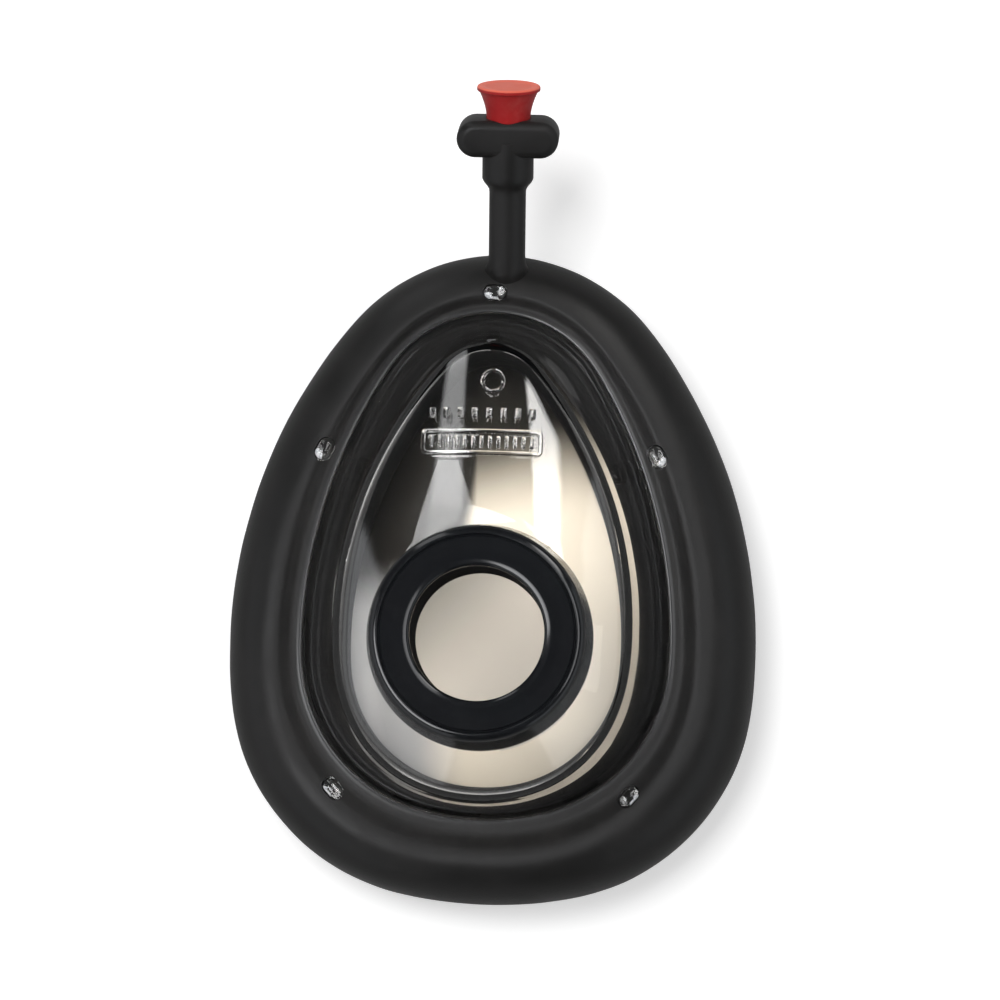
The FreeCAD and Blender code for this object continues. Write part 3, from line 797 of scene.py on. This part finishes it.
def raised_frame(wide, long, line, high):
    """A flat raised border, as a round-cornered band about the origin."""
    form = Form()
    rings = []
    for inset, height in raised_profile(line, high, 0.25):
        corner = FRAME_CORNER - inset
        ring = []
        for quarter_turn, (side, end) in enumerate(((1, 1), (-1, 1), (-1, -1), (1, -1))):
            for step in range(7):
                turn = math.pi / 2.0 * (quarter_turn + step / 6.0)
                x = side * (wide / 2.0 - inset - corner) + corner * math.cos(turn)
                y = end * (long / 2.0 - inset - corner) + corner * math.sin(turn)
                ring.append((x, y, height))
        filled = []
        for index, point in enumerate(ring):
            after = ring[(index + 1) % len(ring)]
            gap = math.dist(point[:2], after[:2])
            filled.append(point)
            for step in range(1, 8 if gap > 3.0 else 1):
                filled.append(tuple(a + (b - a) * step / 8.0 for a, b in zip(point, after)))
        rings.append(filled)
    form.rings(rings, closed=True)
    return mesh_of("frame_mark", form)


def raised_ring(radius, line, high):
    form = Form()
    profile = raised_profile(line, high, 0.3)
    form.rings([circle(radius - inset, height, 40) for inset, height in profile], closed=True)
    return mesh_of("ring_mark", form)


def make_dome(material, glint_material):
    form = Form()
    form.rings(dome_section(), closed=True)
    shell = mesh_of("dome", form)
    tree = search_tree(shell)
    points = bpy.data.meshes.new("tab_places")
    places = tab_places()
    bottom = SEAT_HEIGHT + 0.4
    points.from_pydata([(across, forward, bottom) for across, forward, _ in places], [], [])
    leans = points.attributes.new("lean", "FLOAT", "POINT")
    leans.data.foreach_set("value", [lean for _, _, lean in places])
    tabs = baked("tabs", points, make_tab_tree(), {"Bottom": bottom, "Plastic": material})
    rib_tree = make_rib_tree()
    empty = bpy.data.meshes.new("row_start")
    empty.from_pydata([(0.0, 0.0, 0.0)], [], [])
    marks = []
    for count, pitch, wide, long, centre in RIB_ROWS:
        sizes = {"Count": count, "Pitch": pitch, "Wide": wide, "Long": long, "High": RIB_HEIGHT}
        row = baked("ribs", empty, rib_tree, {**sizes, "Plastic": material})
        row.transform(Matrix.Translation((-pitch * (count - 1) / 2.0, 0.0, 0.12)))
        marks.append(laid_on(row, tree, centre))
    marks.append(laid_on(raised_frame(*FRAME_SIZE, line=0.75, high=0.55), tree, FRAME_PLACE))
    marks.append(laid_on(raised_ring(radius=2.1, line=0.6, high=0.45), tree, RING_MARK_PLACE))
    mesh = joined("dome_whole", [shell, tabs] + marks)
    # painted highlight: the tabs' rims, facing out and down, take the white second material
    glinting = glint_faces(mesh)
    dome = piece_of("clear_dome_shell", mesh, material, sharp=32.0)
    mesh.materials.append(glint_material)
    for index in glinting:
        mesh.polygons[index].material_index = 1
    return dome


def glint_faces(mesh):
    """The faces of the tabs' rounded rims on the side facing out and down, which get a painted highlight in
    white.
    """
    found = []
    for across, forward, _ in tab_places():
        facing = Vector((math.copysign(1.0, across) if across else -0.45, -0.6)).normalized()
        for polygon in mesh.polygons:
            centre = polygon.center
            off = Vector((centre.x - across, centre.y - forward))
            if off.length < TAB_LONG and TAB_TOP - TAB_ROUND < centre.z < TAB_TOP - 0.04:
                if off.dot(facing) > 0.7 * off.length and off.length > 0.85:
                    found.append(polygon.index)
    return found


# connector ring and plug


def make_ring(material):
    plate_bottom = CROWN_HEIGHT - CROWN_PLATE
    flange_top = plate_bottom - GROOVE_GAP
    flange_bottom = flange_top - RING_FLANGE_THICK
    waist = CROWN_HOLE_RADIUS - GROOVE_GAP
    step_out = RING_TOP_RADIUS - RING_EDGE_ROUND
    step_in = step_out - RING_STEP
    face_middle = (step_in + BORE_RADIUS + RING_LIP_ROUND) / 2.0
    corners = [
        (BORE_RADIUS, flange_bottom, 0.3),
        (RING_FLANGE_RADIUS, flange_bottom, 0.5),
        (RING_FLANGE_RADIUS, flange_top, 0.4),
        (waist, flange_top, 0.15),
        (waist, CROWN_HEIGHT, 0.15),
        (RING_BASE_RADIUS, CROWN_HEIGHT, 0.35),
        (RING_TOP_RADIUS, RING_TOP, RING_EDGE_ROUND),
        (step_out - 0.06, RING_TOP, 0.12),
        (step_in + 0.1, RING_TOP - RING_STEP, 0.16),
        (step_in - 0.05, RING_TOP - 0.08, 0.14),
        (face_middle, RING_TOP - RING_DISH, 6.0),
        (BORE_RADIUS + RING_LIP_ROUND + 0.3, RING_TOP - 0.02, 0.3),
        (BORE_RADIUS + 0.02, RING_TOP - 0.12, 0.62),
    ]
    line = rounded(corners, steps=7, closed=True, longest=1.2)
    form = Form()
    form.rings([circle(point.x, point.y, 240) for point in line], closed=True)
    return piece_of("connector_ring_rubber", mesh_of("ring", form), material, sharp=50.0)


def make_plug(material):
    top = COLLAR_END + PLUG_RISE
    seat = COLLAR_END - PLUG_SEAT_DEEP
    flare_low = COLLAR_END - 0.2
    rim_bottom = top - PLUG_HEAD_THICK
    end = seat - PLUG_SHANK
    outline = [(1.5, end + 0.4, 0.4), (1.5, seat, 0.2), (PLUG_RADIUS - 0.02, seat, 0.3)]
    line = [Vector((0.0, end))] + rounded([(0.9, end, 0.0)] + outline + [(PLUG_RADIUS, flare_low, 0.0)])
    flare = 18
    for step in range(1, flare + 1):
        share = step / flare
        out = (PLUG_HEAD_RADIUS - HEAD_LIP - PLUG_RADIUS) * (1.0 - math.cos(share * math.pi / 2.0) ** 0.9)
        line.append(Vector((PLUG_RADIUS + out, flare_low + (rim_bottom - flare_low) * share)))
    rim = [
        (PLUG_HEAD_RADIUS - HEAD_LIP, rim_bottom, 0.0),
        (PLUG_HEAD_RADIUS, rim_bottom + 0.08, 0.22),
        (PLUG_HEAD_RADIUS, top, 0.34),
        (PLUG_HEAD_RADIUS - 0.9, top - 0.02, 0.2),
        (PLUG_HEAD_RADIUS - 1.6, top - HEAD_DISH, 0.6),
        (0.3, top - HEAD_DISH, 0.0),
    ]
    line += rounded(rim)[1:]
    count = 120
    turns = [2.0 * math.pi * step / count for step in range(count)]
    rings = [
        [on_tube(point.x * math.cos(turn), point.x * math.sin(turn), point.y) for turn in turns]
        for point in line
        if point.x > 0.0
    ]
    form = Form()
    form.capped(rings, on_tube(0.0, 0.0, end), on_tube(0.0, 0.0, top - HEAD_DISH))
    return piece_of("filler_plug_red", mesh_of("plug", form), material, sharp=48.0)


# finishes


FLOAT = "NodeSocketFloat"
COLOR = "NodeSocketColor"


def new_group(name, inputs, outputs, kind="ShaderNodeTree"):
    group = bpy.data.node_groups.new(name, kind)
    for label, socket_type, value in inputs:
        socket = group.interface.new_socket(label, in_out="INPUT", socket_type=socket_type)
        if value is not None:
            socket.default_value = value
    for label, socket_type in outputs:
        group.interface.new_socket(label, in_out="OUTPUT", socket_type=socket_type)
    return group, group.nodes.new("NodeGroupInput"), group.nodes.new("NodeGroupOutput")


def set_socket(tree, socket, value):
    """Sets an input, or links it where the value is another node's output."""
    if isinstance(value, bpy.types.NodeSocket):
        tree.links.new(value, socket)
    else:
        socket.default_value = value


def feed(tree, node, **values):
    """Sets or links a node's inputs by name."""
    for name, value in values.items():
        set_socket(tree, node.inputs[name.replace("_", " ")], value)
    return node


def node_of(tree, kind, **values):
    return feed(tree, tree.nodes.new(kind), **values)


def own_place(tree):
    """The piece's own coordinates, in metres."""
    return node_of(tree, "ShaderNodeTexCoord").outputs["Object"]


def axes_of(tree, vector):
    return node_of(tree, "ShaderNodeSeparateXYZ", Vector=vector).outputs


def noise_node(tree, scale, detail=3.0, roughness=0.55):
    """Noise over the piece's own coordinates; scale is in waves a metre or a socket."""
    texture = node_of(tree, "ShaderNodeTexNoise", Scale=scale, Detail=detail, Roughness=roughness)
    return feed(tree, texture, Vector=own_place(tree)).outputs[0]


def math_node(tree, kind, *values, clamp=False):
    node = tree.nodes.new("ShaderNodeMath")
    node.operation = kind
    node.use_clamp = clamp
    for socket, value in zip(node.inputs, values):
        set_socket(tree, socket, value)
    return node.outputs[0]


def ranged(tree, value, low, high, to_low=0.0, to_high=1.0):
    node = tree.nodes.new("ShaderNodeMapRange")
    node.interpolation_type = "SMOOTHSTEP"
    feed(tree, node, Value=value, From_Min=low, From_Max=high, To_Min=to_low, To_Max=to_high)
    return node.outputs[0]


def mixed(tree, factor, first, second):
    node = tree.nodes.new("ShaderNodeMix")
    node.data_type = "RGBA"
    for index, value in ((0, factor), (6, first), (7, second)):
        set_socket(tree, node.inputs[index], value)
    return node.outputs[2]


def moulded_skin_group():
    """Colour, roughness and height of a moulded skin: broad unevenness, fine grain, dull patches."""
    group, entry, leave = new_group(
        "moulded_skin",
        [
            ("Color", COLOR, (0.03, 0.03, 0.03, 1.0)),
            ("Dull Color", COLOR, (0.05, 0.05, 0.05, 1.0)),
            ("Roughness", FLOAT, 0.4),
            ("Roughness Spread", FLOAT, 0.1),
            ("Grain Scale", FLOAT, 2500.0),
            ("Grain Height", FLOAT, 0.3),
        ],
        [("Color", COLOR), ("Roughness", FLOAT), ("Height", FLOAT)],
    )
    link = group.links.new
    patches = ranged(group, noise_node(group, 70.0, 4.0, 0.6), 0.42, 0.68)
    grain = noise_node(group, entry.outputs["Grain Scale"], 2.0)
    waves = noise_node(group, 110.0, 2.0)
    link(mixed(group, patches, entry.outputs["Color"], entry.outputs["Dull Color"]), leave.inputs["Color"])
    spread = math_node(group, "MULTIPLY", patches, entry.outputs["Roughness Spread"])
    fine = math_node(group, "MULTIPLY", math_node(group, "SUBTRACT", grain, 0.5), 0.08)
    rough = math_node(group, "ADD", entry.outputs["Roughness"], spread)
    link(math_node(group, "ADD", rough, fine, clamp=True), leave.inputs["Roughness"])
    tall = math_node(group, "MULTIPLY", grain, entry.outputs["Grain Height"])
    link(math_node(group, "ADD", tall, waves), leave.inputs["Height"])
    return group


def dust_group():
    """A thin film of lint and dust, thicker where the mask says, as a mask of its own."""
    group, entry, leave = new_group(
        "settled_dust",
        [("Amount", FLOAT, 0.3), ("Where", FLOAT, 0.0), ("Fleck Scale", FLOAT, 900.0)],
        [("Mask", FLOAT)],
    )
    film = ranged(group, noise_node(group, 160.0, 5.0, 0.65), 0.45, 0.8)
    flecks = ranged(group, noise_node(group, entry.outputs["Fleck Scale"], 2.0, 0.7), 0.72, 0.8)
    base = math_node(group, "MULTIPLY", film, entry.outputs["Amount"])
    extra = math_node(group, "MULTIPLY", entry.outputs["Where"], math_node(group, "ADD", film, 0.25))
    spots = math_node(group, "MULTIPLY", flecks, math_node(group, "MULTIPLY", entry.outputs["Amount"], 1.5))
    total = math_node(group, "ADD", math_node(group, "ADD", base, extra), spots, clamp=True)
    group.links.new(total, leave.inputs["Mask"])
    return group


SKIN = moulded_skin_group()
DUST = dust_group()


def placed_group(tree, group, **values):
    node = tree.nodes.new("ShaderNodeGroup")
    node.node_tree = group
    return feed(tree, node, **values)


def new_material(name):
    material = bpy.data.materials.new(name)
    material.use_nodes = True
    shader = material.node_tree.nodes["Principled BSDF"]
    return material, material.node_tree, shader


def bump_of(tree, height, strength, distance):
    bump = node_of(tree, "ShaderNodeBump", Strength=strength, Distance=distance, Height=height)
    return bump.outputs["Normal"]


def attribute_of(tree, name):
    node = tree.nodes.new("ShaderNodeAttribute")
    node.attribute_name = name
    return node.outputs["Fac"]


def from_bore(tree):
    """How far each point lies from the bore's axis, in metres, with its own coordinates."""
    axes = axes_of(tree, own_place(tree))
    forward = math_node(tree, "SUBTRACT", axes["Y"], BORE_PLACE.y)
    across = math_node(tree, "MULTIPLY", axes["X"], axes["X"])
    squares = math_node(tree, "MULTIPLY_ADD", forward, forward, across)
    return math_node(tree, "SQRT", squares), axes["X"], forward, axes["Z"]


def rubber_material(name, colour, dull, roughness, spread, gloss, dust_colour, dust_amount):
    material, tree, shader = new_material(name)
    skin = placed_group(
        tree, SKIN, Color=colour, Dull_Color=dull, Roughness=roughness, Roughness_Spread=spread,
        Grain_Scale=2600.0, Grain_Height=0.16,
    )
    dust = placed_group(tree, DUST, Amount=dust_amount)
    colour_out = mixed(tree, dust.outputs["Mask"], skin.outputs["Color"], dust_colour)
    rough = math_node(tree, "MULTIPLY_ADD", dust.outputs["Mask"], 0.3, skin.outputs["Roughness"], clamp=True)
    feed(
        tree, shader, Base_Color=colour_out, Roughness=rough, Specular_IOR_Level=gloss,
        Normal=bump_of(tree, skin.outputs["Height"], 0.35, 0.0003),
    )
    return material, tree, shader, dust, colour_out, rough


ACRYLIC_IOR = 1.49


def clear_plastic():
    material, tree, shader = new_material("clear_polished_plastic")
    dust = placed_group(tree, DUST, Amount=0.1, Fleck_Scale=1400.0)
    smear = ranged(tree, noise_node(tree, 90.0, 4.0, 0.6), 0.4, 0.75, 0.015, 0.05)
    rough = math_node(tree, "ADD", smear, math_node(tree, "MULTIPLY", dust.outputs["Mask"], 0.08), clamp=True)
    feed(
        tree, shader, Base_Color=(0.98, 0.975, 0.965, 1.0), Transmission_Weight=1.0, IOR=ACRYLIC_IOR,
        Roughness=rough, Normal=bump_of(tree, noise_node(tree, 75.0, 1.5), 0.07, 0.0006),
    )
    # lamps shine through, so that the table under the dome is lit
    path = node_of(tree, "ShaderNodeLightPath")
    through = node_of(tree, "ShaderNodeBsdfTransparent", Color=(0.93, 0.92, 0.9, 1.0))
    mix = node_of(tree, "ShaderNodeMixShader", Fac=path.outputs["Is Shadow Ray"])
    tree.links.new(shader.outputs[0], mix.inputs[1])
    tree.links.new(through.outputs[0], mix.inputs[2])
    tree.links.new(mix.outputs[0], tree.nodes["Material Output"].inputs["Surface"])
    return material


def glint_plastic():
    """The clear plastic painted white and mottled grey, for the painted highlights on the tabs' rims."""
    material, tree, shader = new_material("painted_glint_clear_plastic")
    glint_mottle = ranged(tree, noise_node(tree, 1800.0, 3.0, 0.6), 0.3, 0.62)
    feed(
        tree, shader, Transmission_Weight=0.25, IOR=ACRYLIC_IOR,
        Base_Color=mixed(tree, glint_mottle, (0.62, 0.65, 0.69, 1.0), (0.97, 0.98, 1.0, 1.0)),
        Roughness=ranged(tree, glint_mottle, 0.0, 1.0, 0.12, 0.3),
    )
    return material


def plug_plastic():
    material, tree, shader = new_material("red_moulded_plastic")
    skin = placed_group(
        tree, SKIN, Color=(0.29, 0.006, 0.008, 1.0), Dull_Color=(0.33, 0.012, 0.013, 1.0), Roughness=0.36,
        Roughness_Spread=0.14, Grain_Scale=3200.0, Grain_Height=0.12,
    )
    dust = placed_group(tree, DUST, Amount=0.07)
    # painted light: the flat top is painted paler than the sides, as the side that the light falls on
    along = tree.nodes.new("ShaderNodeVectorMath")
    along.operation = "DOT_PRODUCT"
    tree.links.new(own_place(tree), along.inputs[0])
    along.inputs[1].default_value = TUBE_AHEAD
    root = (TUBE_ROOT * MM + Vector((0.0, BORE_PLACE.y, 0.0))).dot(TUBE_AHEAD)
    top = root + (COLLAR_END + PLUG_RISE) * MM
    lit_top = ranged(tree, along.outputs["Value"], top - 0.0004, top - 0.0001, 0.0, 0.85)
    body = mixed(tree, lit_top, skin.outputs["Color"], (0.92, 0.2, 0.13, 1.0))
    feed(
        tree, shader, Base_Color=mixed(tree, dust.outputs["Mask"], body, (0.75, 0.42, 0.36, 1.0)),
        Roughness=skin.outputs["Roughness"], Normal=bump_of(tree, skin.outputs["Height"], 0.3, 0.0003),
        Specular_IOR_Level=0.22, Subsurface_Weight=0.08, Subsurface_Radius=(0.9, 0.15, 0.1),
        Subsurface_Scale=0.001,
    )
    return material


def cushion_rubber():
    material, tree, shader, dust, colour, rough = rubber_material(
        "black_cushion_rubber",
        colour=(0.0095, 0.0092, 0.009, 1.0),
        dull=(0.0125, 0.012, 0.0118, 1.0),
        roughness=0.4,
        spread=0.08,
        gloss=0.2,
        dust_colour=(0.07, 0.066, 0.06, 1.0),
        dust_amount=0.035,
    )
    # the lip's thin edge is rubbed smooth, and is painted a lighter grey as a painted highlight line; dust
    # lies in the hollow behind it
    edge = attribute_of(tree, "lip_edge")
    hollow = attribute_of(tree, "lip_hollow")
    tree.links.new(math_node(tree, "MULTIPLY", hollow, 0.03), dust.inputs["Where"])
    # painted shade: the cushion's inner side under the flange is painted darker, and made rougher
    inner = attribute_of(tree, "inner_side")
    polished = math_node(tree, "MULTIPLY_ADD", edge, -0.16, rough)
    deep = mixed(tree, inner, colour, (0.003, 0.003, 0.003, 1.0))
    feed(
        tree, shader, Roughness=math_node(tree, "MULTIPLY_ADD", inner, 0.3, polished, clamp=True),
        Base_Color=mixed(tree, edge, deep, (0.022, 0.022, 0.0225, 1.0)),
        Coat_Weight=math_node(tree, "MULTIPLY", edge, 0.7), Coat_Roughness=0.12,
    )
    return material


def ring_rubber():
    material, tree, shader, _, _, rough = rubber_material(
        "black_socket_rubber",
        colour=(0.0045, 0.005, 0.006, 1.0),
        dull=(0.006, 0.0068, 0.008, 1.0),
        roughness=0.48,
        spread=0.08,
        gloss=0.05,
        dust_colour=(0.07, 0.07, 0.07, 1.0),
        dust_amount=0.03,
    )
    # dull inside the bore, with the sheen of the mould on the rounded edges outside it
    reach, _, _, height = from_bore(tree)
    in_bore = ranged(tree, reach, (BORE_RADIUS + 0.05) * MM, (BORE_RADIUS + 0.35) * MM, 1.0, 0.0)
    deep = ranged(tree, height, (RING_TOP - 1.2) * MM, (RING_TOP - 0.7) * MM, 1.0, 0.0)
    inside = math_node(tree, "MULTIPLY", in_bore, deep)
    outer_edge = ranged(tree, reach, (RING_TOP_RADIUS - 1.5) * MM, (RING_TOP_RADIUS - 1.1) * MM)
    inner_edge = ranged(tree, reach, (BORE_RADIUS + 0.8) * MM, (BORE_RADIUS + 1.2) * MM, 1.0, 0.0)
    both = math_node(tree, "MAXIMUM", outer_edge, inner_edge)
    edges = math_node(tree, "SUBTRACT", both, inside, clamp=True)
    feed(
        tree, shader, Roughness=math_node(tree, "MULTIPLY_ADD", inside, 0.6, rough, clamp=True),
        Coat_Weight=math_node(tree, "MULTIPLY", edges, 0.6), Coat_Roughness=0.1,
    )
    return material


cushion = make_cushion(cushion_rubber())
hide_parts("air_cushion")
dome = make_dome(clear_plastic(), glint_plastic())
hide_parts("clear_dome")
ring = make_ring(ring_rubber())
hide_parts("connector_ring")
plug = make_plug(plug_plastic())
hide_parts("filler_plug")
for piece in (cushion, dome, ring, plug):
    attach(piece, "root")


# floor, light and camera


def seen_share(tree):
    """1 for rays from the camera and for rays by way of gloss or glass."""
    path = tree.nodes.new("ShaderNodeLightPath")
    both = math_node(tree, "MAXIMUM", path.outputs["Is Camera Ray"], path.outputs["Is Glossy Ray"])
    return math_node(tree, "MAXIMUM", both, path.outputs["Is Transmission Ray"])


def egg_share(tree, across, half_wide, forward, middle, half_long):
    """The square of how far a place lies out in an ellipse, 1 on its edge."""
    beside = math_node(tree, "DIVIDE", across, half_wide)
    ahead = math_node(tree, "MULTIPLY_ADD", forward, 1.0 / half_long, -middle / half_long)
    return math_node(tree, "MULTIPLY_ADD", beside, beside, math_node(tree, "MULTIPLY", ahead, ahead))


FLOOR_HALF = 6.0


def make_floor():
    mesh = bpy.data.meshes.new("floor")
    low = cad_box[0][2] - 0.0001
    corners = [(x * FLOOR_HALF, y * FLOOR_HALF, low) for x, y in ((-1, -1), (1, -1), (1, 1), (-1, 1))]
    mesh.from_pydata(corners, [], [(0, 1, 2, 3)])
    floor = linked("floor", mesh)
    material, tree, shader = new_material("floor_white")
    # the table is cream under the mask, where only the dome and the bore show it
    reach, across, forward, _ = from_bore(tree)
    far = egg_share(tree, across, 0.0365, forward, 0.012, 0.0485)
    # painted shade: grey to the left, with a paler grey far to the left as a painted reflection; and painted
    # shade, darker towards the left, the nose end and the cushion
    left = ranged(tree, across, -0.014, -0.002, 1.0, 0.0)
    aside = math_node(
        tree, "MAXIMUM",
        math_node(tree, "MULTIPLY_ADD", across, -6.0, -0.018),
        math_node(tree, "MULTIPLY", across, -0.3),
    )
    shade = math_node(
        tree, "MULTIPLY",
        ranged(tree, math_node(tree, "ADD", forward, aside), 0.019, 0.039),
        ranged(tree, forward, 0.005, 0.016),
    )
    taper = math_node(tree, "MAXIMUM", math_node(tree, "SUBTRACT", forward, 0.005), 0.0)
    half = math_node(tree, "MULTIPLY_ADD", taper, -0.3, 0.0285)
    middle = math_node(tree, "MULTIPLY_ADD", taper, -0.09, -0.0014)
    past_roof = egg_share(tree, math_node(tree, "SUBTRACT", across, middle), half, forward, 0.0144, 0.0415)
    near_cushion = ranged(tree, past_roof, 1.1, 1.38)
    far_left = ranged(tree, across, -0.026, -0.017, 1.0, 0.0)
    grey = mixed(tree, far_left, (0.33, 0.325, 0.32, 1.0), (0.82, 0.81, 0.8, 1.0))
    lit = mixed(tree, left, (0.88, 0.79, 0.65, 1.0), grey)
    shaded = mixed(tree, math_node(tree, "MAXIMUM", shade, near_cushion), lit, (0.022, 0.02, 0.017, 1.0))
    # painted shade: the bore shows its own patch, darker than the cream round it, and darker still on one
    # side as in the socket's shade
    under_bore = ranged(tree, reach, 0.0145, 0.0175, 1.0, 0.0)
    bore_shade = ranged(tree, math_node(tree, "SUBTRACT", forward, across), -0.003, 0.023)
    bore_patch = mixed(tree, bore_shade, (0.62, 0.565, 0.49, 1.0), (0.22, 0.206, 0.182, 1.0))
    shaded = mixed(tree, under_bore, shaded, bore_patch)
    outside = ranged(tree, far, 0.98, 1.12)
    # gloss shows the white table darker, which keeps its edges from glaring
    path = tree.nodes.new("ShaderNodeLightPath")
    white = mixed(tree, path.outputs["Is Glossy Ray"], (0.86, 0.86, 0.86, 1.0), (0.28, 0.28, 0.28, 1.0))
    colour = mixed(tree, outside, shaded, white)
    lift = math_node(tree, "MULTIPLY", seen_share(tree), ranged(tree, reach, 0.13, 0.5, 0.45, 1.3))
    lift = math_node(tree, "MULTIPLY", lift, outside)
    feed(
        tree, shader, Base_Color=colour, Roughness=0.8, Specular_IOR_Level=0.1, Emission_Color=colour,
        Emission_Strength=lift,
    )
    mesh.materials.append(material)


# soft windows of the studio, which only gloss shows: from and to bearing, from and to height (both in
# degrees, the bearing from the nose end round to the right), rise of the top edge along the bearing,
# brightness and colour
WINDOWS = (
    (-37.0, -21.0, 4.0, 60.2, 0.375, 3.0, (0.98, 0.99, 1.0)),
    (25.0, 45.0, 36.0, 67.0, 0.0, 9.0, (1.0, 0.99, 0.97)),
    (-165.0, -68.0, 2.0, 46.0, 0.0, 1.2, (0.94, 0.96, 1.0)),
    (58.0, 150.0, 4.0, 42.0, 0.0, 1.2, (0.92, 0.96, 1.0)),
    (-150.0, -78.0, 62.0, 82.0, 0.0, 11.0, (0.97, 0.98, 1.0)),
    (15.0, 115.0, 69.0, 84.0, 0.0, 5.0, (0.97, 0.98, 1.0)),
)


WINDOW_SOFTNESS = 1.7
ROOM_GLOSS = (0.05, 0.052, 0.055)


def sum_of_colours(tree, first, second):
    add = tree.nodes.new("ShaderNodeVectorMath")
    set_socket(tree, add.inputs[0], first)
    set_socket(tree, add.inputs[1], second)
    return add.outputs[0]


def make_world():
    world = bpy.data.worlds.new("studio")
    bpy.context.scene.world = world
    world.use_nodes = True
    world.cycles.sampling_method = "NONE"
    tree = world.node_tree
    surface = tree.nodes["Background"]
    axes = axes_of(tree, tree.nodes.new("ShaderNodeTexCoord").outputs["Generated"])
    bearing = math_node(tree, "ARCTAN2", axes["X"], axes["Y"])
    height = math_node(tree, "ARCSINE", axes["Z"])
    soft = math.radians(WINDOW_SOFTNESS)
    total = None
    for left, right, low, high, rise, brightness, colour in WINDOWS:
        past_left = math_node(tree, "SUBTRACT", bearing, math.radians(left))
        below_top = math_node(tree, "SUBTRACT", height, math_node(tree, "MULTIPLY", past_left, rise))
        edges = [
            ranged(tree, value, math.radians(edge) - soft, math.radians(edge) + soft, start, 1.0 - start)
            for value, edge, start in (
                (bearing, left, 0.0), (bearing, right, 1.0), (height, low, 0.0), (below_top, high, 1.0)
            )
        ]
        mask = edges[0]
        for edge in edges[1:]:
            mask = math_node(tree, "MULTIPLY", mask, edge)
        glow = tuple(brightness * channel for channel in colour) + (1.0,)
        pane = mixed(tree, mask, (0.0, 0.0, 0.0, 1.0), glow)
        total = sum_of_colours(tree, total, pane) if total else pane
    total = sum_of_colours(tree, total, ROOM_GLOSS)
    path = tree.nodes.new("ShaderNodeLightPath")
    plain = mixed(tree, path.outputs["Is Camera Ray"], (0.36, 0.36, 0.36, 1.0), (1.0, 1.0, 1.0, 1.0))
    tree.links.new(mixed(tree, path.outputs["Is Glossy Ray"], plain, total), surface.inputs["Color"])


def add_lamp(name, place, wide, tall, watts):
    """A soft lamp that points at the middle of the table, and that gloss doesn't show."""
    lamp = bpy.data.lights.new(name, "AREA")
    lamp.shape = "RECTANGLE"
    lamp.size = wide
    lamp.size_y = tall
    lamp.energy = watts
    thing = linked(name, lamp)
    thing.location = place
    thing.rotation_euler = (-Vector(place)).to_track_quat("-Z", "Y").to_euler()
    thing.visible_glossy = False


make_floor()
make_world()
add_lamp("key_left", (-0.32, 0.25, 1.08), 0.55, 0.55, 8.0)
add_lamp("fill_right", (0.9, -0.1, 0.8), 0.5, 0.7, 2.0)

camera_data = bpy.data.cameras.new("camera")
camera_data.sensor_width = 36.0
camera_data.lens = 131.7
camera_data.clip_start = 0.01
camera = linked("camera", camera_data)
camera.location = (0.0300, -0.0369 + BORE_PLACE.y, 0.6436)
camera.rotation_euler = (math.radians(5.717), math.radians(2.421), math.radians(1.656))
bpy.context.scene.camera = camera
bpy.context.scene.view_settings.view_transform = "Standard"
